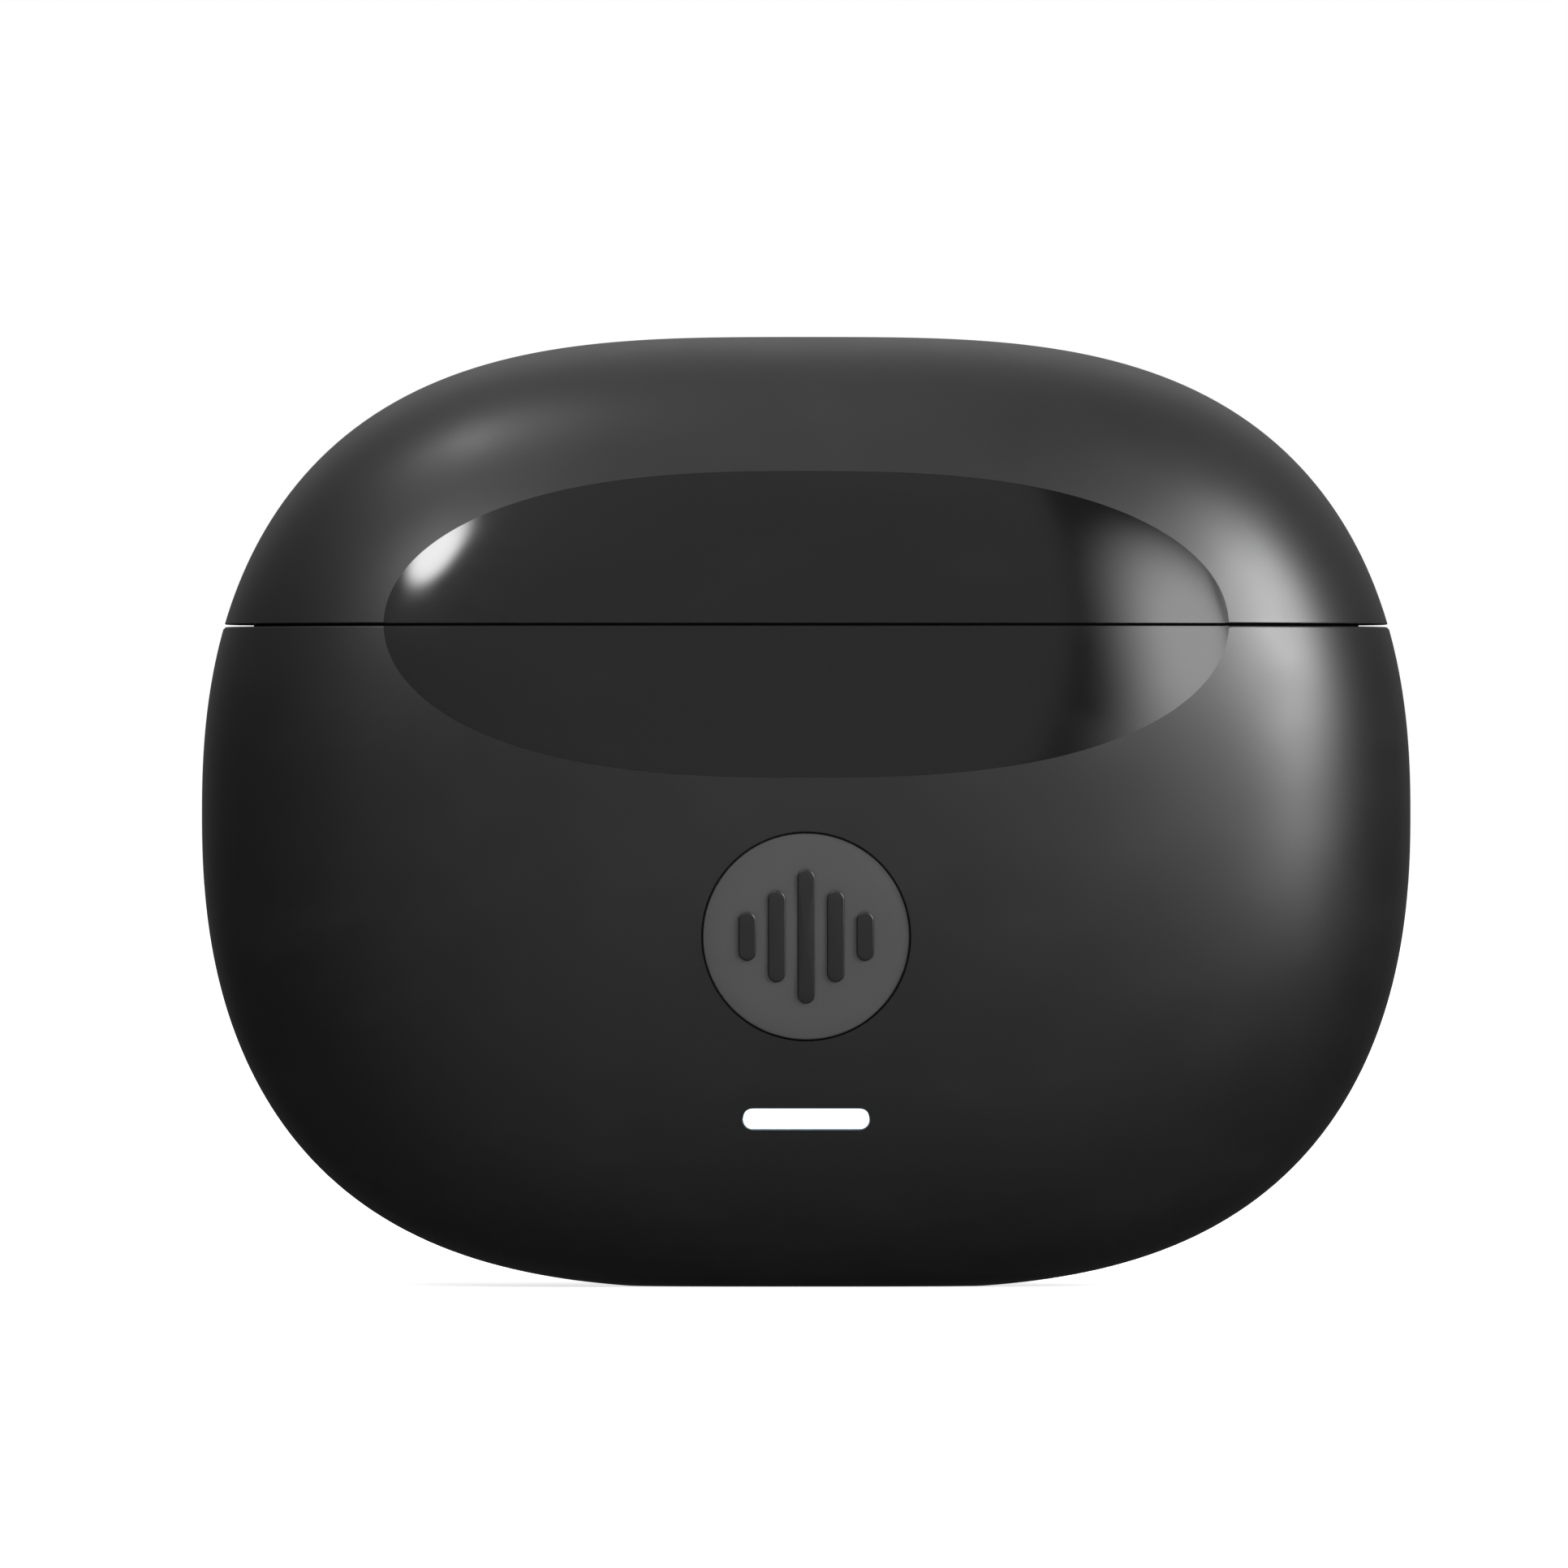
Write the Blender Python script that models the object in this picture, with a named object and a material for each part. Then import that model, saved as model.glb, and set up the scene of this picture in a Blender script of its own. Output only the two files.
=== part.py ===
"""Wireless earbuds case: a pebble-shaped charging case with a hinged lid, standing on its small flat foot.

Metres, +Z up. X is the width, the front faces -Y, and the origin is the middle of the foot.
"""

import math

import bmesh
import bpy
from mathutils import Matrix, Vector

MM = 0.001

# Outer form
CASE_WIDTH = 60.0 * MM
CASE_HEIGHT = 47.1 * MM
CASE_DEPTH = 25.0 * MM
FOOT_CUT = 0.2 * MM
SIDE_POWER = 3.23
CROWN_POWER = 2.32
BELLY_POWER = 2.5
SHELL_WALL = 1.2 * MM
LID_HEIGHT = 14.35 * MM
SEAM_GAP = 0.15 * MM
FIT_GAP = 0.15 * MM
REST_GAP = 0.3 * MM

# Finger scoop across the seam
SCOOP_WIDTH = 41.6 * MM
SCOOP_HEIGHT = 15.1 * MM
SCOOP_DEPTH = 1.1 * MM
SCOOP_END_POWER = 2.65
SCOOP_SOFTNESS = 0.95
SCOOP_TILT = 0.3
SCOOP_RUN_OUT = 1.16
SCOOP_LIFT_OFF = 2.2 * MM

# Round badge with five level bars
BADGE_RADIUS = 5.16 * MM
BADGE_HEIGHT = 17.4 * MM
BADGE_RECESS = 0.7 * MM
BADGE_SINK = 0.2 * MM
BADGE_BAR_WIDTH = 0.85 * MM
BADGE_BAR_PITCH = 1.45 * MM
BADGE_BAR_LENGTHS = (2.4 * MM, 4.5 * MM, 6.6 * MM, 4.5 * MM, 2.4 * MM)

# Status light
LIGHT_WIDTH = 6.3 * MM
LIGHT_THICKNESS = 1.05 * MM
LIGHT_HEIGHT = 8.4 * MM
LIGHT_FLANGE = 1.0 * MM

# Inner tray and lid liner
CUP_X = 13.0 * MM
CUP_RADII = Vector((8.6, 7.2, 9.0)) * MM
CUP_RISE = 0.5 * MM
CUP_WALL = 1.0 * MM
TUBE_JOIN = 1 / 3
LEG_JOIN = 3 / 4
STEM_X = 17.0 * MM
STEM_RADIUS = 3.7 * MM
STEM_FLOOR = 10.0 * MM
TRAY_LIP = 0.8 * MM
TRAY_DECK = 1.7 * MM
TRAY_SKIRT = 5.0 * MM
TRAY_WALL = 0.9 * MM
LINER_THICKNESS = 1.0 * MM
DOME_RADII = Vector((7.9, 6.5, 9.4)) * MM
DOME_WALL = 0.9 * MM

# Hinge
HINGE_DEPTH = 0.85 * MM
HINGE_FLUSH = 0.05 * MM
KNUCKLE_RADIUS = 1.0 * MM
PIN_RADIUS = 0.45 * MM
PIN_CLEARANCE = 0.08 * MM
LID_RELIEF = 1.25 * MM
BASE_RELIEF = 1.35 * MM
RELIEF_REACH = 16.5 * MM
PIN_REACH = 8.0 * MM
CENTRE_KNUCKLE = 5.0 * MM
LEAF_REACH = 8.0 * MM
LEAF_LENGTH = 6.0 * MM
LEAF_THICKNESS = 0.6 * MM
LEAF_SCREW_X = 3.0 * MM
LEAF_SCREW_RISE = 4.0 * MM
LEAF_SCREW_BITE = 0.75 * MM

# Screws
SCREW_SHANK = 0.5 * MM
SCREW_HEAD = 0.9 * MM
SCREW_HEAD_HEIGHT = 0.4 * MM
SCREW_CLEARANCE = 0.12 * MM

# Electronics
BOARD_HALF_WIDTH = 11.8 * MM
BOARD_FRONT = -2.7 * MM
BOARD_THICKNESS = 0.8 * MM
BOARD_LOW = 3.2 * MM
BOARD_DROP = 10.25 * MM
BOARD_CORNER = 3.0 * MM
BOARD_SCREW_X = 9.5 * MM
BOARD_SCREW_DROP = 2.5 * MM
BOARD_SCREW_LENGTH = 1.7 * MM
LEG_WIDTH = 2.4 * MM
LEG_DEPTH = 2.5 * MM
LEG_DROP = 1.5 * MM
LEG_BORE = 2.0 * MM
BATTERY_HALF_WIDTH = 11.0 * MM
BATTERY_THICKNESS = 8.6 * MM
BATTERY_LOW = 8.2 * MM
BATTERY_DROP = 4.3 * MM
BATTERY_EDGE = 0.8 * MM
FOAM_MARGIN = 1.5 * MM
CONNECTOR_SIZE = Vector((3.8, 1.4, 1.6)) * MM
CONNECTOR_DROP = 3.5 * MM
LEAD_RADIUS = 0.4 * MM
LEAD_X = 0.8 * MM
LEAD_RISE = 0.5 * MM
LEAD_ARCH = 0.7
LAMP_X = 1.8 * MM
LAMP_SIZE = Vector((1.6, 0.6, 0.8)) * MM
CHIPS = {
    "charge_controller": (Vector((-7.0, 8.0)) * MM, Vector((3.0, 0.6, 3.0)) * MM),
    "power_inductor": (Vector((-3.0, 8.0)) * MM, Vector((2.5, 1.2, 2.5)) * MM),
    "processor": (Vector((5.0, 8.0)) * MM, Vector((4.5, 0.7, 4.5)) * MM),
    "hall_sensor": (Vector((0.0, 1.9)) * MM, Vector((1.6, 0.5, 1.3)) * MM),
}
USB_WIDTH = 8.94 * MM
USB_THICKNESS = 3.16 * MM
USB_WALL = 0.3 * MM
USB_LOW = 0.5 * MM
USB_HIGH = 7.5 * MM
USB_CLEARANCE = 0.17 * MM
TONGUE_WIDTH = 6.7 * MM
TONGUE_THICKNESS = 0.7 * MM
TONGUE_SET_BACK = 1.3 * MM
CONTACT_PITCH = 3.2 * MM
CONTACT_BOARD_SIZE = Vector((6.0, 5.0, 0.8)) * MM
FLEX_THICKNESS = 0.2 * MM
BARREL_RADIUS = 0.75 * MM
BARREL_LENGTH = 2.3 * MM
BARREL_FLOOR = 0.3 * MM
PLUNGER_RADIUS = 0.42 * MM
PLUNGER_LENGTH = 2.3 * MM
PLUNGER_PROUD = 1.0 * MM
PLUNGER_TIP = 0.21 * MM
MAGNET_SIZE = Vector((4.0, 2.4, 2.0)) * MM
MAGNET_X = 4.5 * MM
BUD_MAGNET_RADIUS = 2.0 * MM
BUD_MAGNET_HEIGHT = 1.1 * MM
BUD_MAGNET_X = 7.0 * MM
BUD_MAGNET_Y = -3.5 * MM
SENSOR_MAGNET_SIZE = Vector((2.0, 2.0, 1.5)) * MM

# Worked out from the sizes above
HALF = Vector((CASE_WIDTH / 2, CASE_DEPTH / 2, (CASE_HEIGHT + FOOT_CUT) / 2))
MIDDLE = HALF.z - FOOT_CUT
SEAM = CASE_HEIGHT - LID_HEIGHT
BARREL_REACH = RELIEF_REACH - FIT_GAP
BOARD_HIGH = SEAM - BOARD_DROP
BOARD_SCREW_Z = BOARD_HIGH - BOARD_SCREW_DROP
BATTERY_HIGH = BOARD_HIGH - BATTERY_DROP
CONNECTOR_LOW = BOARD_HIGH - CONNECTOR_DROP
LINING = SHELL_WALL + FIT_GAP
BEYOND = 2 * max(CASE_WIDTH, CASE_HEIGHT, CASE_DEPTH)

# Finishes: colour, roughness, metallic
FINISHES = {
    "gloss_black": ((0.012, 0.012, 0.013), 0.2, 0.0),
    "satin_black": ((0.02, 0.02, 0.021), 0.45, 0.0),
    "badge_grey": ((0.06, 0.06, 0.062), 0.35, 0.2),
    "light_white": ((0.9, 0.93, 0.95), 0.3, 0.0),
    "steel": ((0.55, 0.56, 0.58), 0.28, 1.0),
    "gold": ((0.83, 0.62, 0.25), 0.25, 1.0),
    "board_green": ((0.02, 0.12, 0.06), 0.45, 0.0),
    "chip_black": ((0.03, 0.03, 0.032), 0.55, 0.0),
    "cell_silver": ((0.6, 0.61, 0.63), 0.35, 0.7),
    "foam_grey": ((0.12, 0.12, 0.12), 0.95, 0.0),
    "lead_red": ((0.6, 0.03, 0.02), 0.4, 0.0),
    "lead_black": ((0.02, 0.02, 0.02), 0.4, 0.0),
    "flex_amber": ((0.55, 0.25, 0.05), 0.4, 0.0),
    "magnet": ((0.5, 0.5, 0.52), 0.3, 1.0),
}


def half_depth(x, z, inset=0.0):
    """Distance from the middle plane to the pebble's face, for the pebble drawn in by inset."""
    half = [side - inset for side in HALF]
    share = abs(x / half[0]) ** SIDE_POWER + abs((z - MIDDLE) / half[2]) ** CROWN_POWER
    return half[1] * max(1.0 - share, 0.0) ** (1 / BELLY_POWER)


def scoop_share(x, z):
    """0 at the middle of the finger scoop and 1 on its edge."""
    return abs(2 * x / SCOOP_WIDTH) ** SCOOP_END_POWER + (2 * (z - SEAM) / SCOOP_HEIGHT) ** 2


def scoop_depth(x, z):
    """How far the scoop is sunk below the face: a steep upper edge and a soft lower one."""
    share = scoop_share(x, z)
    if share >= 1.0:
        return -SCOOP_LIFT_OFF * (share - 1.0)
    tilt = max(-1.0, min(1.0, 2 * (z - SEAM) / SCOOP_HEIGHT))
    return SCOOP_DEPTH * (1.0 - share) ** (SCOOP_SOFTNESS - SCOOP_TILT * tilt)


# Outlines in a plane, as lists of points that go once round


def circle(radius, count=24, centre=(0.0, 0.0)):
    turns = [2 * math.pi * step / count for step in range(count)]
    return [(centre[0] + radius * math.cos(turn), centre[1] + radius * math.sin(turn)) for turn in turns]


def capsule(width, height, centre=(0.0, 0.0), arc=8):
    """A slot outline with round ends; the longer side sets its direction."""
    radius = min(width, height) / 2
    reach = abs(width - height) / 2
    points = []
    for side in (1, -1):
        for step in range(arc + 1):
            turn = math.pi * step / arc - math.pi / 2 + (0 if side > 0 else math.pi)
            points.append((side * reach + radius * math.cos(turn), radius * math.sin(turn)))
    if height > width:
        points = [(-v, u) for u, v in points]
    return [(centre[0] + u, centre[1] + v) for u, v in points]


def scoop_outline(grow, share=1.0, count=48):
    """The scoop's edge, widened by grow, or the line where scoop_share has the given value."""
    half_x = SCOOP_WIDTH / 2 * share ** (1 / SCOOP_END_POWER) + grow
    half_z = SCOOP_HEIGHT / 2 * share**0.5 + grow
    points = []
    for step in range(count):
        turn = 2 * math.pi * step / count
        x, z = math.cos(turn), math.sin(turn)
        points.append((
            half_x * math.copysign(abs(x) ** (2 / SCOOP_END_POWER), x),
            SEAM + half_z * z,
        ))
    return points


# Solids, each as a bmesh in world coordinates


def pebble(inset, around=52, rings=24):
    """The case's closed form, drawn in by inset."""
    half = [side - inset for side in HALF]
    bm = bmesh.new()
    rows = []
    for ring in range(1, rings):
        slope = math.pi * ring / rings
        reach = math.sin(slope)
        y = -half[1] * math.copysign(abs(1 - reach**CROWN_POWER) ** (1 / BELLY_POWER), math.cos(slope))
        row = []
        for step in range(around):
            turn = 2 * math.pi * step / around
            u, v = math.cos(turn), math.sin(turn)
            edge = 1.0
            for _ in range(12):
                total = abs(edge * u) ** SIDE_POWER + abs(edge * v) ** CROWN_POWER
                edge *= total ** (-1 / CROWN_POWER)
            row.append(bm.verts.new((
                half[0] * edge * u * reach ** (CROWN_POWER / SIDE_POWER),
                y,
                MIDDLE + half[2] * edge * v * reach,
            )))
        rows.append(row)
    front = bm.verts.new((0, -half[1], MIDDLE))
    back = bm.verts.new((0, half[1], MIDDLE))
    for step in range(around):
        after = (step + 1) % around
        bm.faces.new((front, rows[0][step], rows[0][after]))
        bm.faces.new((back, rows[-1][after], rows[-1][step]))
        for near, far in zip(rows, rows[1:]):
            bm.faces.new((near[step], far[step], far[after], near[after]))
    return bm


def block(low, high):
    bm = bmesh.new()
    bmesh.ops.create_cube(bm, size=1.0)
    low, high = Vector(low), Vector(high)
    bmesh.ops.scale(bm, verts=bm.verts, vec=high - low)
    bmesh.ops.translate(bm, verts=bm.verts, vec=(low + high) / 2)
    return bm


def prism(outline, low, high, axis="Z"):
    """The outline extruded along an axis. It lies in XY for Z, XZ for Y and YZ for X."""
    bm = bmesh.new()
    place = {
        "Z": lambda u, v: (u, v, low),
        "Y": lambda u, v: (u, low, v),
        "X": lambda u, v: (low, u, v),
    }[axis]
    face = bm.faces.new([bm.verts.new(place(u, v)) for u, v in outline])
    grown = bmesh.ops.extrude_face_region(bm, geom=[face])["geom"]
    step = Vector([high - low if name == axis else 0.0 for name in "XYZ"])
    bmesh.ops.translate(bm, verts=[v for v in grown if isinstance(v, bmesh.types.BMVert)], vec=step)
    return bm


def turned(profile, place, axis="Z", count=20):
    """A profile of (radius, height) pairs spun about an axis through place."""
    bm = bmesh.new()
    verts = [bm.verts.new((radius, 0, height)) for radius, height in profile]
    edges = [bm.edges.new(pair) for pair in zip(verts, verts[1:])]
    bmesh.ops.spin(
        bm, geom=verts + edges, cent=(0, 0, 0), axis=(0, 0, 1), angle=2 * math.pi, steps=count, use_merge=True
    )
    bmesh.ops.remove_doubles(bm, verts=bm.verts, dist=0.001 * MM)
    turn = {
        "Z": Matrix.Identity(4),
        "Y": Matrix.Rotation(math.radians(-90), 4, "X"),
        "X": Matrix.Rotation(math.radians(90), 4, "Y"),
    }[axis]
    bmesh.ops.transform(bm, matrix=Matrix.Translation(place) @ turn, verts=bm.verts)
    return bm


def rod(radius, low, high, axis, place, count=20):
    """A plain cylinder from low to high along its axis."""
    return turned([(0, low), (radius, low), (radius, high), (0, high)], place, axis, count)


def ellipsoid(centre, radii, around=28, rings=16):
    bm = bmesh.new()
    bmesh.ops.create_uvsphere(bm, u_segments=around, v_segments=rings, radius=1.0)
    bmesh.ops.scale(bm, verts=bm.verts, vec=radii)
    bmesh.ops.translate(bm, verts=bm.verts, vec=centre)
    return bm


def curved_panel(outline, near, far, rings=1):
    """A solid between two curved faces y = near(x, z) and y = far(x, z), inside an outline in XZ."""
    bm = bmesh.new()
    middle = Vector((sum(x for x, _ in outline), sum(z for _, z in outline))) / len(outline)
    sheets = []
    for face in (near, far):
        rows = []
        for ring in range(1, rings + 1):
            points = [middle + (Vector(point) - middle) * ring / rings for point in outline]
            rows.append([bm.verts.new((x, face(x, z), z)) for x, z in points])
        centre = bm.verts.new((middle.x, face(*middle), middle.y))
        sheets.append((centre, rows))
    count = len(outline)
    for step in range(count):
        after = (step + 1) % count
        for centre, rows in sheets:
            bm.faces.new((centre, rows[0][step], rows[0][after]))
            for inner, outer in zip(rows, rows[1:]):
                bm.faces.new((inner[step], outer[step], outer[after], inner[after]))
        near_rim, far_rim = sheets[0][1][-1], sheets[1][1][-1]
        bm.faces.new((near_rim[step], far_rim[step], far_rim[after], near_rim[after]))
    return bm


# Objects


def add_object(name, bm, origin=(0, 0, 0), parent=None):
    """Links the bmesh as an object whose origin is at the given world place."""
    origin = Vector(origin)
    bmesh.ops.recalc_face_normals(bm, faces=bm.faces)
    bmesh.ops.translate(bm, verts=bm.verts, vec=-origin)
    mesh = bpy.data.meshes.new(name)
    bm.to_mesh(mesh)
    bm.free()
    obj = bpy.data.objects.new(name, mesh)
    bpy.context.scene.collection.objects.link(obj)
    obj.location = origin
    if parent:
        obj.parent = parent
        obj.location = origin - parent.location
    return obj


def part(name, bm, finish, origin=(0, 0, 0), parent=None):
    obj = add_object(name, bm, origin, parent)
    obj.data.shade_smooth()
    obj.data.set_sharp_from_angle(angle=math.radians(35))
    paint(obj, finish)
    return obj


def paint(obj, finish):
    colour, roughness, metallic = FINISHES[finish]
    material = bpy.data.materials.new(obj.name)
    material.use_nodes = True
    shader = material.node_tree.nodes["Principled BSDF"]
    shader.inputs["Base Color"].default_value = (*colour, 1.0)
    shader.inputs["Roughness"].default_value = roughness
    shader.inputs["Metallic"].default_value = metallic
    obj.data.materials.append(material)


def cutter(name, bm):
    obj = add_object("cut_" + name, bm)
    obj.hide_render = True
    obj.display_type = "WIRE"
    return obj


def combine(obj, others, operation="DIFFERENCE"):
    for other in others if isinstance(others, list) else [others]:
        modifier = obj.modifiers.new(other.name, "BOOLEAN")
        modifier.operation = operation
        modifier.solver = "EXACT"
        modifier.object = other
    return obj


def front_face(inset):
    return lambda x, z: -half_depth(x, z, inset)


def rear_face(inset):
    return lambda x, z: half_depth(x, z, inset)


def scoop_floor(behind):
    return lambda x, z: -half_depth(x, z) + scoop_depth(x, z) + behind


def ahead(_x, _z):
    return -CASE_DEPTH


# Each piece


def case_shells(hinge_y, lid_axis):
    """The two outer shells, split at the seam, with the finger scoop, hinge relief and openings cut in."""
    wall_behind_scoop = cutter(
        "scoop_backing", curved_panel(scoop_outline(SHELL_WALL), ahead, scoop_floor(SHELL_WALL), 7)
    )
    hollow = combine(cutter("hollow", pebble(SHELL_WALL, 48, 14)), wall_behind_scoop)
    scoop = cutter(
        "scoop", curved_panel(scoop_outline(0.0, SCOOP_RUN_OUT), ahead, scoop_floor(0.0), 9)
    )
    below = block((-BEYOND, -BEYOND, 0), (BEYOND, BEYOND, SEAM - SEAM_GAP / 2))
    above = block((-BEYOND, -BEYOND, SEAM + SEAM_GAP / 2), (BEYOND, BEYOND, BEYOND))

    base = part("base_shell", pebble(0.0), "gloss_black")
    combine(base, hollow)
    combine(base, scoop)
    combine(base, cutter("below_seam", below), "INTERSECT")
    badge = curved_panel(circle(BADGE_RADIUS, 32, (0, BADGE_HEIGHT)), ahead, front_face(BADGE_RECESS), 3)
    combine(base, cutter("badge_recess", badge))
    light = capsule(LIGHT_WIDTH, LIGHT_THICKNESS, (0, LIGHT_HEIGHT))
    combine(base, cutter("light_slot", prism(light, -CASE_DEPTH, BOARD_FRONT, "Y")))
    socket = capsule(USB_WIDTH + 2 * USB_CLEARANCE, USB_THICKNESS + 2 * USB_CLEARANCE)
    combine(base, cutter("socket_opening", prism(socket, -SHELL_WALL, USB_HIGH)))

    lid = part("lid_shell", pebble(0.0), "gloss_black", lid_axis.location, lid_axis)
    combine(lid, hollow)
    combine(lid, scoop)
    combine(lid, cutter("above_seam", above), "INTERSECT")

    for shell, side, relief in ((base, -1, BASE_RELIEF), (lid, 1, LID_RELIEF)):
        channel = rod(relief, -RELIEF_REACH, RELIEF_REACH, "X", (0, hinge_y, SEAM), 32)
        combine(shell, cutter(f"relief_{shell.name}", channel))
        for name, x in leaf_screw_sides():
            bore = leaf_screw_bore(x, side)
            combine(shell, cutter(f"bore_{shell.name}_{name}", bore))


def leaf_screw_sides():
    return (("left", -LEAF_SCREW_X), ("right", LEAF_SCREW_X))


def leaf_screw_spot(x, side):
    """Where a leaf's screw axis crosses the leaf's rear face. Side is 1 on the lid and -1 on the base."""
    z = SEAM + side * LEAF_SCREW_RISE
    return Vector((x, half_depth(x, z, LINING), z))


def leaf_screw_bore(x, side):
    spot = leaf_screw_spot(x, side)
    depth = FIT_GAP + LEAF_SCREW_BITE + SCREW_CLEARANCE
    return rod(SCREW_SHANK + SCREW_CLEARANCE, -2 * LEAF_THICKNESS, depth, "Y", spot, 12)


def leaf_screw(name, x, side, parent):
    """A small screw that holds a hinge leaf to its shell, with its head inside, clear of the leaf."""
    spot = leaf_screw_spot(x, side)
    under_head = [
        half_depth(x, spot.z + reach, LINING + LEAF_THICKNESS) for reach in (-SCREW_HEAD, SCREW_HEAD)
    ]
    head = min(under_head) - spot.y - SCREW_CLEARANCE
    tip = FIT_GAP + LEAF_SCREW_BITE
    profile = [
        (0, head - SCREW_HEAD_HEIGHT),
        (SCREW_HEAD, head - SCREW_HEAD_HEIGHT),
        (SCREW_HEAD, head),
        (SCREW_SHANK, head),
        (SCREW_SHANK, tip),
        (0, tip),
    ]
    return part(name, turned(profile, spot, "Y", 16), "steel", spot, parent)


def hinge(hinge_y, lid_axis):
    """Two leaves that follow the inside of the rear wall, knuckles round one pin, and their screws."""
    axis = (0, hinge_y, SEAM)
    flush = cutter("hinge_flush", pebble(HINGE_FLUSH, 72, 24))
    bore = cutter("pin_bore", rod(PIN_RADIUS + PIN_CLEARANCE, -PIN_REACH, PIN_REACH, "X", axis, 16))
    for name, side, parent in (("base", -1, None), ("lid", 1, lid_axis)):
        root, tip = sorted((SEAM, SEAM + side * LEAF_LENGTH))
        reach = LEAF_REACH if side < 0 else CENTRE_KNUCKLE
        plate = curved_panel(
            leaf_outline(reach, root, tip), rear_face(LINING + LEAF_THICKNESS), rear_face(LINING), 4
        )
        leaf = part(f"hinge_{name}_leaf", plate, "steel", axis, parent)
        if side < 0:
            gap = block(
                (-CENTRE_KNUCKLE - FIT_GAP, -BEYOND, SEAM - BASE_RELIEF),
                (CENTRE_KNUCKLE + FIT_GAP, BEYOND, BEYOND),
            )
            combine(leaf, cutter("knuckle_gap", gap))
            for at, low, high in (
                ("left", -BARREL_REACH, -CENTRE_KNUCKLE - FIT_GAP),
                ("right", CENTRE_KNUCKLE + FIT_GAP, BARREL_REACH),
            ):
                barrel = cutter(f"barrel_{at}", rod(KNUCKLE_RADIUS, low, high, "X", axis))
                combine(leaf, barrel, "UNION")
        else:
            knuckle = rod(KNUCKLE_RADIUS, -CENTRE_KNUCKLE, CENTRE_KNUCKLE, "X", axis)
            combine(leaf, cutter("centre_knuckle", knuckle), "UNION")
        combine(leaf, flush, "INTERSECT")
        combine(leaf, bore)
        for at, x in leaf_screw_sides():
            hole = cutter(f"hole_{name}_leaf_{at}", leaf_screw_bore(x, side))
            combine(leaf, hole)
            leaf_screw(f"{name}_leaf_screw_{at}", x, side, parent)
    reach = PIN_REACH - PIN_CLEARANCE
    part("hinge_pin", rod(PIN_RADIUS, -reach, reach, "X", axis, 16), "steel", axis)


def leaf_outline(reach, low, high, steps=8):
    """A plain rectangle with extra points along its long sides, so that the plate bends with the wall."""
    across = [reach * (2 * step / steps - 1) for step in range(steps + 1)]
    return [(x, low) for x in across] + [(x, high) for x in reversed(across)]


def inner_tray(hinge_y):
    """The tray that holds the earbuds: a deck with a skirt, two cups with stem tubes and two board legs."""
    deck_top = SEAM + TRAY_LIP
    deck_low = deck_top - TRAY_DECK
    tray = part("inner_tray", pebble(LINING, 48, 14), "satin_black")
    band = block((-BEYOND, -BEYOND, SEAM - TRAY_SKIRT), (BEYOND, BEYOND, deck_top))
    combine(tray, cutter("tray_band", band), "INTERSECT")
    under = block((-BEYOND, -BEYOND, -BEYOND), (BEYOND, BEYOND, deck_low))
    combine(tray, combine(cutter("tray_hollow", pebble(LINING + TRAY_WALL, 48, 14)),
                          cutter("under_deck", under), "INTERSECT"))
    room = curved_panel(scoop_outline(SHELL_WALL + FIT_GAP), ahead, scoop_floor(LINING), 7)
    combine(tray, cutter("scoop_room", room))
    notch = block(
        (-RELIEF_REACH - FIT_GAP, hinge_y - BASE_RELIEF - LEAF_THICKNESS, 0),
        (RELIEF_REACH + FIT_GAP, BEYOND, BEYOND),
    )
    combine(tray, cutter("hinge_notch", notch))
    trim = cutter("deck_trim", block((-BEYOND, -BEYOND, 0), (BEYOND, BEYOND, deck_top)))
    for name, side in (("left", -1), ("right", 1)):
        heart = Vector((side * CUP_X, 0, SEAM + CUP_RISE))
        outer = cutter(f"cup_outer_{name}", ellipsoid(heart, CUP_RADII + Vector([CUP_WALL] * 3)))
        combine(tray, combine(outer, trim, "INTERSECT"), "UNION")
        stem = (side * STEM_X, 0, 0)
        tube_top = SEAM - CUP_RADII.z * TUBE_JOIN
        tube = rod(STEM_RADIUS + CUP_WALL, STEM_FLOOR - CUP_WALL, tube_top, "Z", stem, 28)
        combine(tray, cutter(f"stem_tube_{name}", tube), "UNION")
        leg_front = board_rear() + REST_GAP
        leg = block(
            (side * BOARD_SCREW_X - LEG_WIDTH / 2, leg_front, BOARD_SCREW_Z - LEG_DROP),
            (side * BOARD_SCREW_X + LEG_WIDTH / 2, leg_front + LEG_DEPTH, SEAM - CUP_RADII.z * LEG_JOIN),
        )
        combine(tray, cutter(f"board_leg_{name}", leg), "UNION")
    for name, side in (("left", -1), ("right", 1)):
        heart = (side * CUP_X, 0, SEAM + CUP_RISE)
        combine(tray, cutter(f"cup_{name}", ellipsoid(heart, CUP_RADII)))
        stem = (side * STEM_X, 0, 0)
        combine(tray, cutter(f"stem_bore_{name}", rod(STEM_RADIUS, STEM_FLOOR, SEAM, "Z", stem, 28)))
        for at, x in contact_places(side):
            hole = rod(BARREL_RADIUS + FIT_GAP, 0, STEM_FLOOR + FIT_GAP, "Z", (x, 0, 0), 16)
            combine(tray, cutter(f"contact_hole_{name}_{at}", hole))
        screw = (side * BOARD_SCREW_X, board_rear(), BOARD_SCREW_Z)
        tapped = rod(SCREW_SHANK + SCREW_CLEARANCE, 0, LEG_BORE, "Y", screw, 12)
        combine(tray, cutter(f"leg_bore_{name}", tapped))


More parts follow.
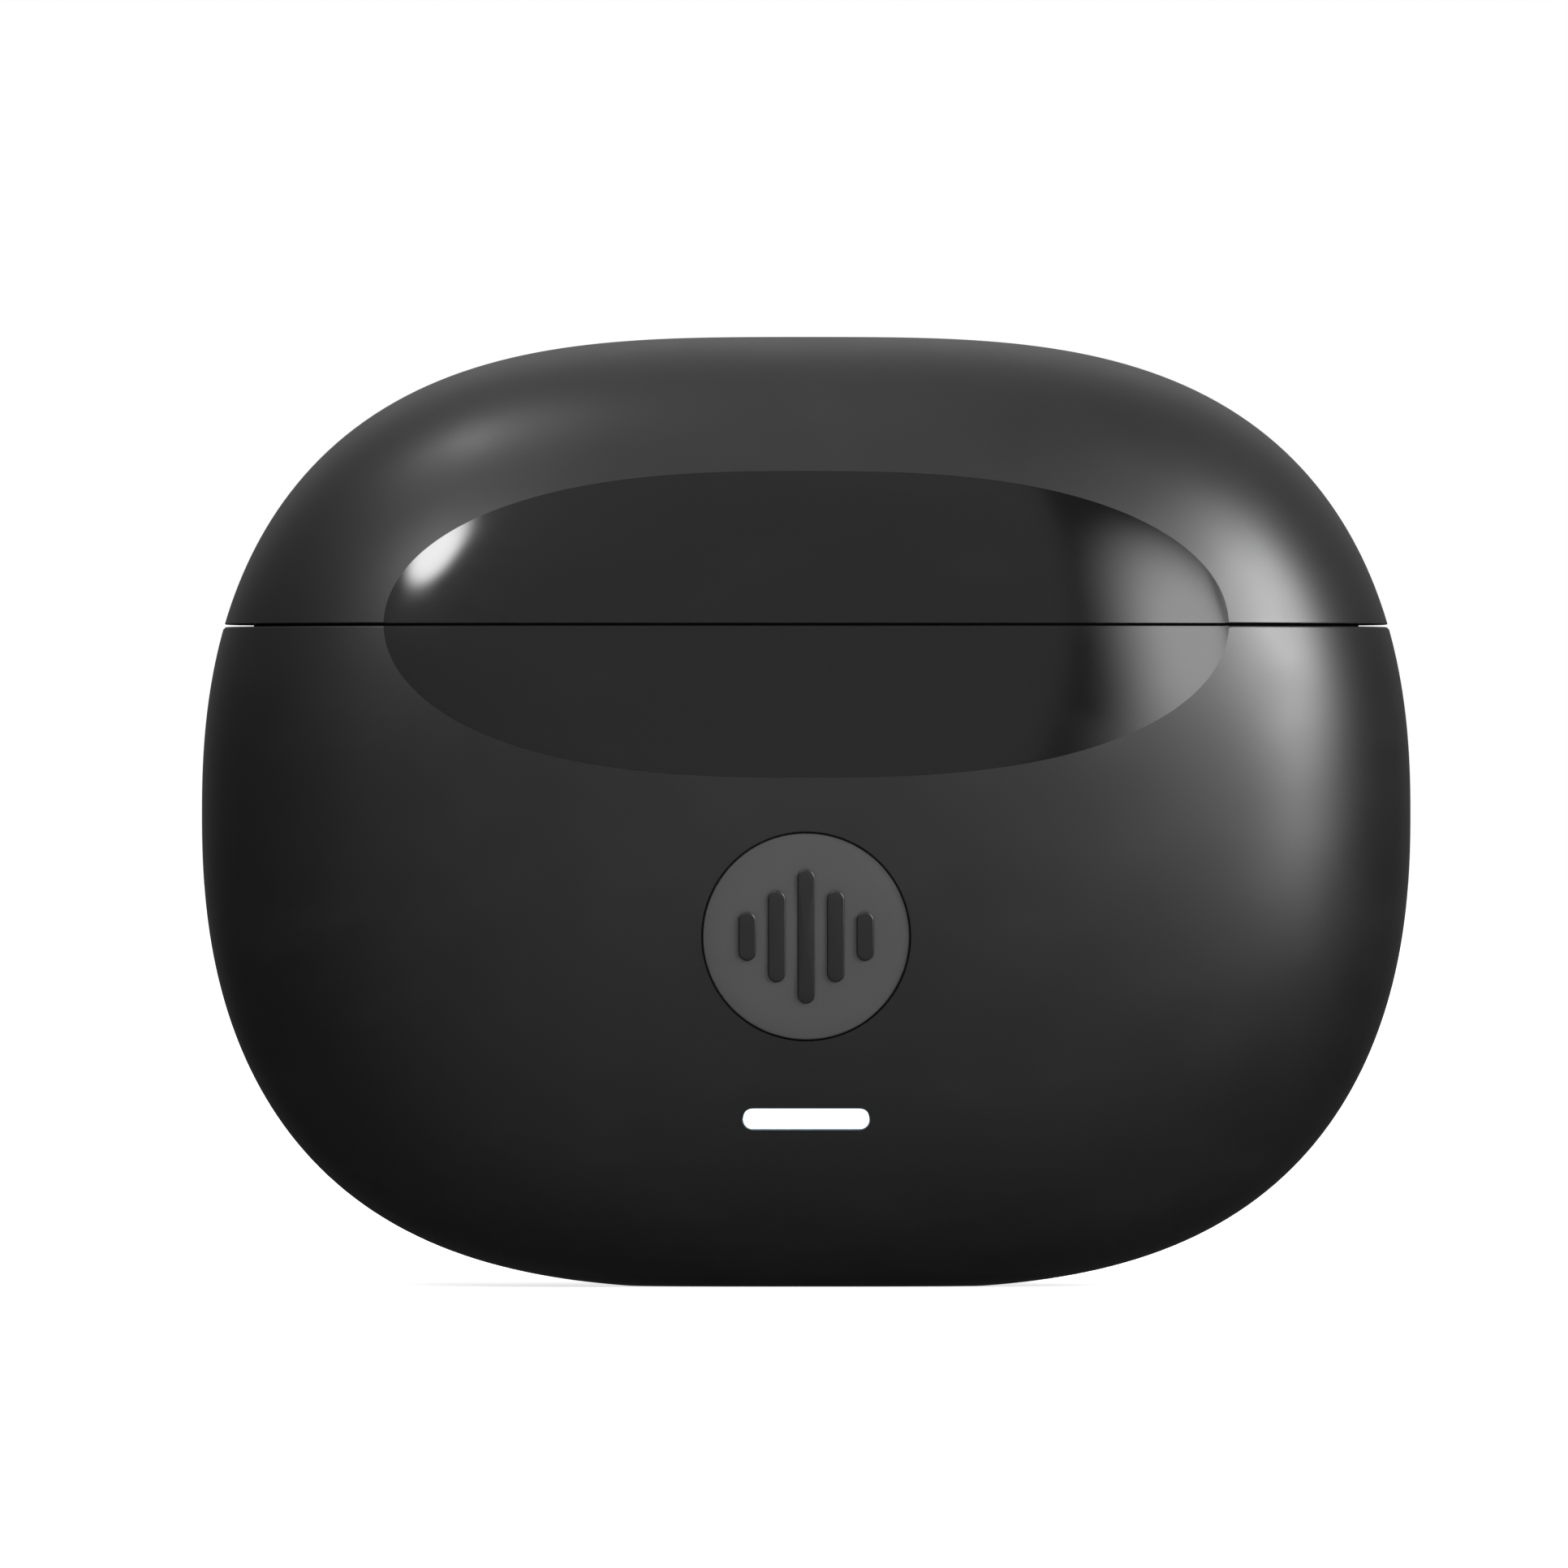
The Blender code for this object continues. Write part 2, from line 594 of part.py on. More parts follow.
def lid_liner(lid_axis):
    """The lid's inside face: a plate over the cups with two domes for the earbuds' heads."""
    low = SEAM + TRAY_LIP + REST_GAP
    high = low + LINER_THICKNESS
    liner = part("lid_liner", pebble(LINING, 48, 14), "satin_black", lid_axis.location, lid_axis)
    plate = block((-BEYOND, -BEYOND, low), (BEYOND, BEYOND, high))
    combine(liner, cutter("liner_band", plate), "INTERSECT")
    room = bpy.data.objects["cut_scoop_room"]
    combine(liner, room)
    before_leaf = half_depth(CENTRE_KNUCKLE, high, LINING + LEAF_THICKNESS) - REST_GAP
    notch = block(
        (-CENTRE_KNUCKLE - REST_GAP, before_leaf, 0), (CENTRE_KNUCKLE + REST_GAP, BEYOND, BEYOND)
    )
    combine(liner, cutter("leaf_notch", notch))
    over = cutter("over_liner", block((-BEYOND, -BEYOND, low), (BEYOND, BEYOND, BEYOND)))
    for name, side in (("left", -1), ("right", 1)):
        heart = Vector((side * CUP_X, 0, SEAM + CUP_RISE))
        dome = cutter(f"dome_outer_{name}", ellipsoid(heart, DOME_RADII + Vector([DOME_WALL] * 3)))
        combine(liner, combine(dome, over, "INTERSECT"), "UNION")
    for name, side in (("left", -1), ("right", 1)):
        heart = (side * CUP_X, 0, SEAM + CUP_RISE)
        combine(liner, cutter(f"dome_{name}", ellipsoid(heart, DOME_RADII)))


def badge_plate():
    """A sunk disc with five upright bars, level with the shell's face."""
    radius = BADGE_RADIUS - FIT_GAP / 2
    back = front_face(BADGE_RECESS - FIT_GAP)
    disc = curved_panel(circle(radius, 32, (0, BADGE_HEIGHT)), front_face(BADGE_SINK), back, 3)
    plate = part("badge_plate", disc, "badge_grey", (0, -HALF.y, BADGE_HEIGHT))
    middle = (len(BADGE_BAR_LENGTHS) - 1) / 2
    for index, length in enumerate(BADGE_BAR_LENGTHS):
        x = (index - middle) * BADGE_BAR_PITCH
        outline = capsule(BADGE_BAR_WIDTH, length, (x, BADGE_HEIGHT), 4)
        bar = curved_panel(outline, front_face(0.0), front_face(BADGE_SINK + FIT_GAP), 1)
        combine(plate, cutter(f"badge_bar_{index}", bar), "UNION")


def status_light():
    """The light guide that fills the front slot, and the two lamps on the board behind it."""
    width = LIGHT_WIDTH - FIT_GAP
    thickness = LIGHT_THICKNESS - FIT_GAP
    lamp_front = BOARD_FRONT - REST_GAP - LAMP_SIZE.y
    bar = curved_panel(
        capsule(width, thickness, (0, LIGHT_HEIGHT)),
        front_face(0.0),
        lambda _x, _z: lamp_front - REST_GAP,
        1,
    )
    guide = part("led_light_guide", bar, "light_white", (0, -HALF.y, LIGHT_HEIGHT))
    flange = curved_panel(
        capsule(LIGHT_WIDTH + 2 * LIGHT_FLANGE, LIGHT_THICKNESS + 2 * LIGHT_FLANGE, (0, LIGHT_HEIGHT)),
        front_face(SHELL_WALL + REST_GAP),
        front_face(SHELL_WALL + REST_GAP + LIGHT_FLANGE),
        1,
    )
    combine(guide, cutter("light_flange", flange), "UNION")
    for name, side in (("left", -1), ("right", 1)):
        chip(f"led_{name}", Vector((side * LAMP_X, LIGHT_HEIGHT)), LAMP_SIZE, "light_white")


def board_rear():
    return BOARD_FRONT + BOARD_THICKNESS


def chip(name, place, size, finish="chip_black"):
    """A component on the front of the main board."""
    rear = BOARD_FRONT - REST_GAP
    low = (place.x - size.x / 2, rear - size.y, place.y - size.z / 2)
    high = (place.x + size.x / 2, rear, place.y + size.z / 2)
    return part(name, block(low, high), finish, (place.x, rear, place.y))


def electronics():
    low = (-BOARD_HALF_WIDTH, BOARD_FRONT, BOARD_LOW)
    high = (BOARD_HALF_WIDTH, board_rear(), BOARD_HIGH)
    board = part("main_board", block(low, high), "board_green", (0, BOARD_FRONT, BOARD_LOW))
    for name, side in (("left", -1), ("right", 1)):
        corner = board_corner(side)
        combine(board, cutter(f"board_corner_{name}", corner))
        place = (side * BOARD_SCREW_X, board_rear(), BOARD_SCREW_Z)
        hole = rod(SCREW_SHANK + SCREW_CLEARANCE, -2 * BOARD_THICKNESS, BOARD_THICKNESS, "Y", place, 12)
        combine(board, cutter(f"board_hole_{name}", hole))
        board_screw(name, place)
    for name, (place, size) in CHIPS.items():
        chip(name, Vector((place.x, BOARD_HIGH - place.y)), size)
    usb_socket()
    battery_and_leads()
    for name, side in (("left", -1), ("right", 1)):
        contact_set(name, side)
        place = (side * BUD_MAGNET_X, BUD_MAGNET_Y, bud_magnet_low())
        disc = rod(BUD_MAGNET_RADIUS, 0, BUD_MAGNET_HEIGHT, "Z", place, 20)
        part(f"bud_magnet_{name}", disc, "magnet", place)


def bud_magnet_low():
    """Just below the cup, on the side nearest the magnet's edge."""
    along = (CUP_X - BUD_MAGNET_X - BUD_MAGNET_RADIUS) / (CUP_RADII.x + CUP_WALL)
    rise = (CUP_RADII.z + CUP_WALL) * math.sqrt(1 - along * along)
    return SEAM + CUP_RISE - rise - REST_GAP / 2 - BUD_MAGNET_HEIGHT


def board_corner(side):
    """The board's lower corners are cut off so that it clears the curved floor."""
    edge, low = BOARD_HALF_WIDTH + FIT_GAP, BOARD_LOW - FIT_GAP
    outline = [(side * (edge - BOARD_CORNER), low), (side * edge, low), (side * edge, low + BOARD_CORNER)]
    return prism(outline, BOARD_FRONT - FIT_GAP, board_rear() + FIT_GAP, "Y")


def board_screw(name, place):
    head = -BOARD_THICKNESS - REST_GAP
    profile = [
        (0, head - SCREW_HEAD_HEIGHT),
        (SCREW_HEAD, head - SCREW_HEAD_HEIGHT),
        (SCREW_HEAD, head),
        (SCREW_SHANK, head),
        (SCREW_SHANK, BOARD_SCREW_LENGTH),
        (0, BOARD_SCREW_LENGTH),
    ]
    part(f"board_screw_{name}", turned(profile, place, "Y", 16), "steel", place)


def usb_socket():
    """A stamped steel socket shell with its contact tongue, behind the opening in the foot."""
    tube = prism(capsule(USB_WIDTH, USB_THICKNESS), USB_LOW, USB_HIGH)
    shell = part("usb_c_shell", tube, "steel", (0, 0, USB_LOW))
    inside = capsule(USB_WIDTH - 2 * USB_WALL, USB_THICKNESS - 2 * USB_WALL)
    combine(shell, cutter("socket_hollow", prism(inside, 0, USB_HIGH - USB_WALL)))
    half_width, half_thickness = TONGUE_WIDTH / 2, TONGUE_THICKNESS / 2
    low = (-half_width, -half_thickness, USB_LOW + TONGUE_SET_BACK)
    high = (half_width, half_thickness, USB_HIGH - USB_WALL - FIT_GAP)
    part("usb_c_tongue", block(low, high), "chip_black", (0, 0, USB_LOW))


def battery_and_leads():
    front = board_rear() + REST_GAP
    rear = front + BATTERY_THICKNESS
    low = (-BATTERY_HALF_WIDTH, front, BATTERY_LOW)
    high = (BATTERY_HALF_WIDTH, rear, BATTERY_HIGH)
    battery = part("battery", block(low, high), "cell_silver", (0, rear, BATTERY_LOW))
    bevel = battery.modifiers.new("soft_edges", "BEVEL")
    bevel.width = BATTERY_EDGE
    bevel.segments = 2
    foam_half, foam_low, foam_high = (
        BATTERY_HALF_WIDTH - FOAM_MARGIN,
        BATTERY_LOW + FOAM_MARGIN,
        BATTERY_HIGH - FOAM_MARGIN,
    )
    foam_rear = half_depth(foam_half, foam_low, SHELL_WALL) - REST_GAP
    foam = block((-foam_half, rear + FIT_GAP, foam_low), (foam_half, foam_rear, foam_high))
    part("battery_foam", foam, "foam_grey", (0, rear, foam_low))
    plug_low = Vector((-CONNECTOR_SIZE.x / 2, front, CONNECTOR_LOW))
    plug_high = plug_low + CONNECTOR_SIZE
    part("battery_connector", block(plug_low, plug_high), "light_white", plug_low)
    start = (plug_low.y + plug_high.y) / 2
    for name, x in (("red", -LEAD_X), ("black", LEAD_X)):
        foot = Vector((x, start, plug_high.z + REST_GAP))
        lead(f"battery_lead_{name}", foot, (front + rear) / 2, f"lead_{name}")


def lead(name, start, end_y, finish, count=12):
    """A round lead that rises from the connector and turns over onto the top of the cell."""
    half = (end_y - start.y) / 2
    curve = bpy.data.curves.new(name, "CURVE")
    curve.dimensions = "3D"
    curve.bevel_depth = LEAD_RADIUS
    curve.bevel_resolution = 1
    curve.use_fill_caps = True
    line = curve.splines.new("POLY")
    points = [Vector(start)]
    for step in range(count + 1):
        turn = math.pi * step / count
        over = Vector((0, half * (1 - math.cos(turn)), LEAD_RISE + half * LEAD_ARCH * math.sin(turn)))
        points.append(start + over)
    points.append(Vector((start.x, end_y, BATTERY_HIGH + REST_GAP)))
    line.points.add(len(points) - 1)
    for point, place in zip(line.points, points):
        point.co = (*(place - start), 1.0)
    obj = bpy.data.objects.new(name, curve)
    obj.location = start
    bpy.context.scene.collection.objects.link(obj)
    paint(obj, finish)


def contact_places(side):
    half = CONTACT_PITCH / 2
    return (("inner", side * (STEM_X - half)), ("outer", side * (STEM_X + half)))


def contact_set(name, side):
    """Two sprung charging contacts under a stem tube, on a small board with a flexible strip."""
    floor = STEM_FLOOR - BARREL_LENGTH
    top = Vector((side * STEM_X, 0, floor - REST_GAP))
    half = CONTACT_BOARD_SIZE / 2
    board = block(top - Vector((half.x, half.y, CONTACT_BOARD_SIZE.z)), top + Vector((half.x, half.y, 0)))
    part(f"contact_board_{name}", board, "board_green", top)
    inner, outer = sorted((side * (BOARD_HALF_WIDTH + REST_GAP), side * (STEM_X - half.x - REST_GAP)))
    strip_low = Vector((inner, BOARD_FRONT, top.z - half.z))
    strip = block(strip_low, (outer, 0, strip_low.z + FLEX_THICKNESS))
    part(f"contact_flex_{name}", strip, "flex_amber", strip_low)
    bore = PLUNGER_RADIUS + PIN_CLEARANCE
    for at, x in contact_places(side):
        profile = [
            (0, 0),
            (BARREL_RADIUS, 0),
            (BARREL_RADIUS, BARREL_LENGTH),
            (bore, BARREL_LENGTH),
            (bore, BARREL_FLOOR),
            (0, BARREL_FLOOR),
        ]
        part(f"contact_barrel_{name}_{at}", turned(profile, (x, 0, floor), "Z", 16), "gold", (x, 0, floor))
        low = STEM_FLOOR + PLUNGER_PROUD - PLUNGER_LENGTH
        domed = [(0, 0), (PLUNGER_RADIUS, 0), (PLUNGER_RADIUS, PLUNGER_LENGTH - PLUNGER_TIP)]
        over = math.radians(45)
        domed.append((PLUNGER_RADIUS * math.cos(over), PLUNGER_LENGTH - PLUNGER_TIP * (1 - math.sin(over))))
        domed.append((0, PLUNGER_LENGTH))
        part(f"contact_plunger_{name}_{at}", turned(domed, (x, 0, low), "Z", 16), "gold", (x, 0, low))


def catch_magnets(lid_axis):
    """Facing pairs in the tray and the lid that pull the lid shut, and the magnet that the sensor reads."""
    deck_low = SEAM + TRAY_LIP - TRAY_DECK
    liner_top = SEAM + TRAY_LIP + REST_GAP + LINER_THICKNESS
    half = MAGNET_SIZE / 2
    magnet_top = liner_top + REST_GAP + MAGNET_SIZE.z
    wall = scoop_floor(SHELL_WALL)
    magnet_y = max(wall(0, magnet_top), wall(MAGNET_X + half.x, magnet_top)) + FIT_GAP + half.y
    for name, side in (("left", -1), ("right", 1)):
        for holder, z, parent in (
            ("tray", deck_low - REST_GAP - half.z, None),
            ("lid", magnet_top - half.z, lid_axis),
        ):
            place = Vector((side * MAGNET_X, magnet_y, z))
            part(f"{holder}_catch_magnet_{name}", block(place - half, place + half), "magnet", place, parent)
    half = SENSOR_MAGNET_SIZE / 2
    place = Vector((0, magnet_y, liner_top + REST_GAP + half.z))
    part("lid_sensor_magnet", block(place - half, place + half), "magnet", place, lid_axis)


def build():
    for obj in list(bpy.data.objects):
        bpy.data.objects.remove(obj)
    hinge_y = half_depth(0, SEAM) - HINGE_DEPTH
    lid_axis = bpy.data.objects.new("lid_axis", None)
    lid_axis.location = (0, hinge_y, SEAM)
    bpy.context.scene.collection.objects.link(lid_axis)
    case_shells(hinge_y, lid_axis)
    hinge(hinge_y, lid_axis)
    inner_tray(hinge_y)
    lid_liner(lid_axis)
    badge_plate()
    status_light()
    electronics()
    catch_magnets(lid_axis)


build()
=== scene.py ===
import math

import bmesh
import bpy
import numpy as np
from mathutils import Matrix, Vector


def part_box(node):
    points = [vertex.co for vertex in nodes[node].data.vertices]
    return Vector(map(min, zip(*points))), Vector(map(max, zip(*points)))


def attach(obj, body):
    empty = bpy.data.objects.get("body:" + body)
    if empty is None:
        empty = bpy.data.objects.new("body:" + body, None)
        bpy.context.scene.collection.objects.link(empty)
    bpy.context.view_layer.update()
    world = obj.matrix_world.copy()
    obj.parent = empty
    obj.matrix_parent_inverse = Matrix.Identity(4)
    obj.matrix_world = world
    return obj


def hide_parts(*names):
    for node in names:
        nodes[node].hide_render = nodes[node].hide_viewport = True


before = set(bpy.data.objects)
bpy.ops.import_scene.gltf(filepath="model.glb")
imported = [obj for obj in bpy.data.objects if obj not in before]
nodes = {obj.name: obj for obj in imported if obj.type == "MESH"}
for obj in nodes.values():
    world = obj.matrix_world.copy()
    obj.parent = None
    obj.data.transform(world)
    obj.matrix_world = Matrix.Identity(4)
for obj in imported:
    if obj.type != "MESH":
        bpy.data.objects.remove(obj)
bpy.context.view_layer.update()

mm = 0.001
shellLow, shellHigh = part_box("base_shell")
lidLow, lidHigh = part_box("lid_shell")
detail = 1.0
print("frame loaded:", len(nodes), "nodes")

# The pebble's form; its size comes from the two shells' boxes
form = {
    "sidePower": 3.23,
    "crownPower": 2.32,
    "bellyPower": 2.5,
    "footCut": 0.2 * mm,
    "wall": 1.2 * mm,
    "fitGap": 0.15 * mm,
}
caseHeight = lidHigh.z - shellLow.z
half = Vector((
    (shellHigh.x - shellLow.x) / 2,
    (shellHigh.y - shellLow.y) / 2,
    (caseHeight + form["footCut"]) / 2,
))
middle = half.z - form["footCut"]
seam = (shellHigh.z + lidLow.z) / 2
front = half.y + 10 * mm
far = 0.1

scoopShape = {
    "width": 41.6 * mm,
    "height": 15.1 * mm,
    "endPower": 2.65,
    "depth": 0.62 * mm,
    "endFade": 0.6,
    "rim": 0.07 * mm,
    "rimShare": 0.012,
}


def halfDepth(x, z, inset=0.0):
    a, c, b = (side - inset for side in half)
    share = np.abs(x / a) ** form["sidePower"] + np.abs((z - middle) / b) ** form["crownPower"]
    return c * np.maximum(1.0 - share, 0.0) ** (1 / form["bellyPower"])


def scoopShare(x, z):
    across = np.abs(2 * x / scoopShape["width"]) ** scoopShape["endPower"]
    return across + (2 * (z - seam) / scoopShape["height"]) ** 2


def scoopDish(x, z):
    # a shallow dish, shallower towards its two ends
    across = np.minimum((2 * x / scoopShape["width"]) ** 2, 1.1)
    return scoopShape["depth"] * (1 - scoopShape["endFade"] * across) ** 2 * (1 - scoopShare(x, z))


def scoopDepth(x, z):
    # the dish with a crisp little rim all round it
    rim = np.clip((1 - scoopShare(x, z)) / scoopShape["rimShare"], -3, 1)
    return scoopDish(x, z) + scoopShape["rim"] * rim


def faceAt(inset):
    return lambda x, z: -halfDepth(x, z) + inset


def scoopFloor(inset=0.0):
    return lambda x, z: -halfDepth(x, z) + scoopDepth(x, z) + inset


def ahead(x, z):
    return np.full_like(x, -front)


def faceNormal(points):
    # outward direction of the pebble at points on it
    a, c, b = half
    x, y, z = points[:, 0] / a, points[:, 1] / c, (points[:, 2] - middle) / b
    powers = form["sidePower"], form["bellyPower"], form["crownPower"]
    slopes = [
        power / size * np.sign(value) * np.abs(value) ** (power - 1)
        for value, power, size in zip((x, y, z), powers, (a, c, b))
    ]
    normals = np.stack(slopes, axis=1)
    return normals / np.maximum(np.linalg.norm(normals, axis=1, keepdims=True), 1e-9)


def floorNormal(points):
    # outward direction of the scoop's floor
    step = 0.01 * mm
    x, z = points[:, 0], points[:, 2]
    floor = lambda u, v: -halfDepth(u, v) + scoopDish(u, v)
    alongX = (floor(x + step, z) - floor(x - step, z)) / (2 * step)
    alongZ = (floor(x, z + step) - floor(x, z - step)) / (2 * step)
    normals = np.stack([alongX, -np.ones_like(x), alongZ], axis=1)
    return normals / np.linalg.norm(normals, axis=1, keepdims=True)


# Outlines, as lists of points that go once round


def circle(radius, count=64, centre=(0.0, 0.0)):
    turns = [2 * math.pi * step / count for step in range(count)]
    return [(centre[0] + radius * math.cos(turn), centre[1] + radius * math.sin(turn)) for turn in turns]


def capsule(width, height, centre=(0.0, 0.0), arc=16):
    radius = min(width, height) / 2
    reach = abs(width - height) / 2
    points = []
    for side in (1, -1):
        for step in range(arc + 1):
            turn = math.pi * step / arc - math.pi / 2 + (0 if side > 0 else math.pi)
            points.append((side * reach + radius * math.cos(turn), radius * math.sin(turn)))
    if height > width:
        points = [(-v, u) for u, v in points]
    return [(centre[0] + u, centre[1] + v) for u, v in points]


def scoopRing(share, grow=0.0, count=240):
    halfX = scoopShape["width"] / 2 * share ** (1 / scoopShape["endPower"]) + grow
    halfZ = scoopShape["height"] / 2 * share**0.5 + grow
    ring = []
    for step in range(count):
        turn = 2 * math.pi * step / count
        x, z = math.cos(turn), math.sin(turn)
        ring.append((halfX * math.copysign(abs(x) ** (2 / scoopShape["endPower"]), x), seam + halfZ * z))
    return ring


def caseRing(z, inset, count=320):
    # the case's own outline at one height, drawn in evenly
    a, c, b = (side - inset for side in half)
    level = max(1 - abs((z - middle) / b) ** form["crownPower"], 0.0)
    ring = []
    for step in range(int(count * detail)):
        turn = 2 * math.pi * step / int(count * detail)
        u, v = math.cos(turn), math.sin(turn)
        x = a * math.copysign(abs(u) ** (2 / form["sidePower"]), u) * level ** (1 / form["sidePower"])
        y = c * math.copysign(abs(v) ** (2 / form["bellyPower"]), v) * level ** (1 / form["bellyPower"])
        ring.append((x, y, z))
    return ring


# Solids, each as a bmesh in place


def pebble(inset, around=256, rings=120):
    a, c, b = (side - inset for side in half)
    bm = bmesh.new()
    rows = []
    for ring in range(1, rings):
        slope = math.pi * ring / rings
        reach = math.sin(slope)
        y = -c * math.copysign(
            abs(1 - reach ** form["crownPower"]) ** (1 / form["bellyPower"]), math.cos(slope)
        )
        row = []
        for step in range(around):
            turn = 2 * math.pi * step / around
            u, v = math.cos(turn), math.sin(turn)
            edge = 1.0
            for _ in range(14):
                total = abs(edge * u) ** form["sidePower"] + abs(edge * v) ** form["crownPower"]
                edge *= total ** (-1 / form["crownPower"])
            x = a * edge * u * reach ** (form["crownPower"] / form["sidePower"])
            row.append(bm.verts.new((x, y, middle + b * edge * v * reach)))
        rows.append(row)
    nose = bm.verts.new((0, -c, middle))
    tail = bm.verts.new((0, c, middle))
    for step in range(around):
        after = (step + 1) % around
        bm.faces.new((nose, rows[0][step], rows[0][after]))
        bm.faces.new((tail, rows[-1][after], rows[-1][step]))
        for near, far in zip(rows, rows[1:]):
            bm.faces.new((near[step], far[step], far[after], near[after]))
    return bm


def block(low, high):
    bm = bmesh.new()
    bmesh.ops.create_cube(bm, size=1.0)
    low, high = Vector(low), Vector(high)
    bmesh.ops.scale(bm, verts=bm.verts, vec=high - low)
    bmesh.ops.translate(bm, verts=bm.verts, vec=(low + high) / 2)
    return bm


def stack(sheets):
    # a closed solid through rings of points, each ring a list of places, with fans at both ends
    bm = bmesh.new()
    rows = [[bm.verts.new(place) for place in sheet] for sheet in sheets]
    count = len(rows[0])
    for near, far in zip(rows, rows[1:]):
        for step in range(count):
            after = (step + 1) % count
            bm.faces.new((near[step], near[after], far[after], far[step]))
    for row, flip in ((rows[0], True), (rows[-1], False)):
        centre = bm.verts.new(sum((v.co for v in row), Vector()) / count)
        for step in range(count):
            after = (step + 1) % count
            corners = (centre, row[after], row[step]) if flip else (centre, row[step], row[after])
            bm.faces.new(corners)
    return bm


def ringSolid(sections):
    # a closed tube through sections that come back to the first one
    bm = bmesh.new()
    rows = [[bm.verts.new(place) for place in section] for section in sections]
    count = len(rows[0])
    for index, near in enumerate(rows):
        far = rows[(index + 1) % len(rows)]
        for step in range(count):
            after = (step + 1) % count
            bm.faces.new((near[step], near[after], far[after], far[step]))
    return bm


def prism(outline, low, high, axis="Z"):
    places = {
        "Z": lambda u, v, w: (u, v, w),
        "Y": lambda u, v, w: (u, w, v),
        "X": lambda u, v, w: (w, u, v),
    }[axis]
    return stack([[places(u, v, level) for u, v in outline] for level in (low, high)])


def ellipsoid(centre, radii, around=96, rings=64):
    bm = bmesh.new()
    bmesh.ops.create_uvsphere(bm, u_segments=around, v_segments=rings, radius=1.0)
    bmesh.ops.scale(bm, verts=bm.verts, vec=radii)
    bmesh.ops.translate(bm, verts=bm.verts, vec=centre)
    return bm


def turned(profile, place, axis="Z", count=48):
    # a profile of (radius, height) pairs from end to end, spun about an axis through place
    bm = bmesh.new()
    verts = [bm.verts.new((radius, 0, height)) for radius, height in profile]
    edges = [bm.edges.new(pair) for pair in zip(verts, verts[1:])]
    bmesh.ops.spin(
        bm, geom=verts + edges, cent=(0, 0, 0), axis=(0, 0, 1), angle=2 * math.pi, steps=count,
        use_merge=True,
    )
    bmesh.ops.remove_doubles(bm, verts=bm.verts, dist=0.0005 * mm)
    turn = {
        "Z": Matrix.Identity(4),
        "Y": Matrix.Rotation(math.radians(-90), 4, "X"),
        "X": Matrix.Rotation(math.radians(90), 4, "Y"),
    }[axis]
    bmesh.ops.transform(bm, matrix=Matrix.Translation(place) @ turn, verts=bm.verts)
    return bm


def panel(rings, near, far):
    # two curved sheets y = near(x, z) and y = far(x, z) through the same nested outlines, closed at the rim
    sheets = []
    for face, order in ((near, rings), (far, list(reversed(rings)))):
        for ring in order:
            x, z = np.array(ring).T
            sheets.append(list(zip(x, face(x, z), z)))
    return stack(sheets)


def nested(outline, shares):
    # the outline drawn in towards its middle by each share
    points = np.array(outline)
    centre = points.mean(axis=0)
    return [[tuple(p) for p in centre + (points - centre) * share] for share in shares]


# Objects


def addObject(name, bm):
    bmesh.ops.recalc_face_normals(bm, faces=bm.faces)
    mesh = bpy.data.meshes.new(name)
    bm.to_mesh(mesh)
    bm.free()
    obj = bpy.data.objects.new(name, mesh)
    bpy.context.scene.collection.objects.link(obj)
    return obj


def carve(obj, tools, operation="DIFFERENCE", keep=()):
    for tool in tools:
        modifier = obj.modifiers.new(tool.name, "BOOLEAN")
        modifier.solver = "MANIFOLD"
        modifier.operation = operation
        modifier.object = tool
    settle(obj)
    for tool in tools:
        if tool not in keep:
            bpy.data.objects.remove(tool)
    return obj


def settle(obj):
    # the modifiers' result becomes the object's own mesh
    graph = bpy.context.evaluated_depsgraph_get()
    mesh = bpy.data.meshes.new_from_object(obj.evaluated_get(graph))
    obj.modifiers.clear()
    old = obj.data
    obj.data = mesh
    bpy.data.meshes.remove(old)


def smooth(obj, angle=35):
    obj.data.shade_smooth()
    obj.data.set_sharp_from_angle(angle=math.radians(angle))


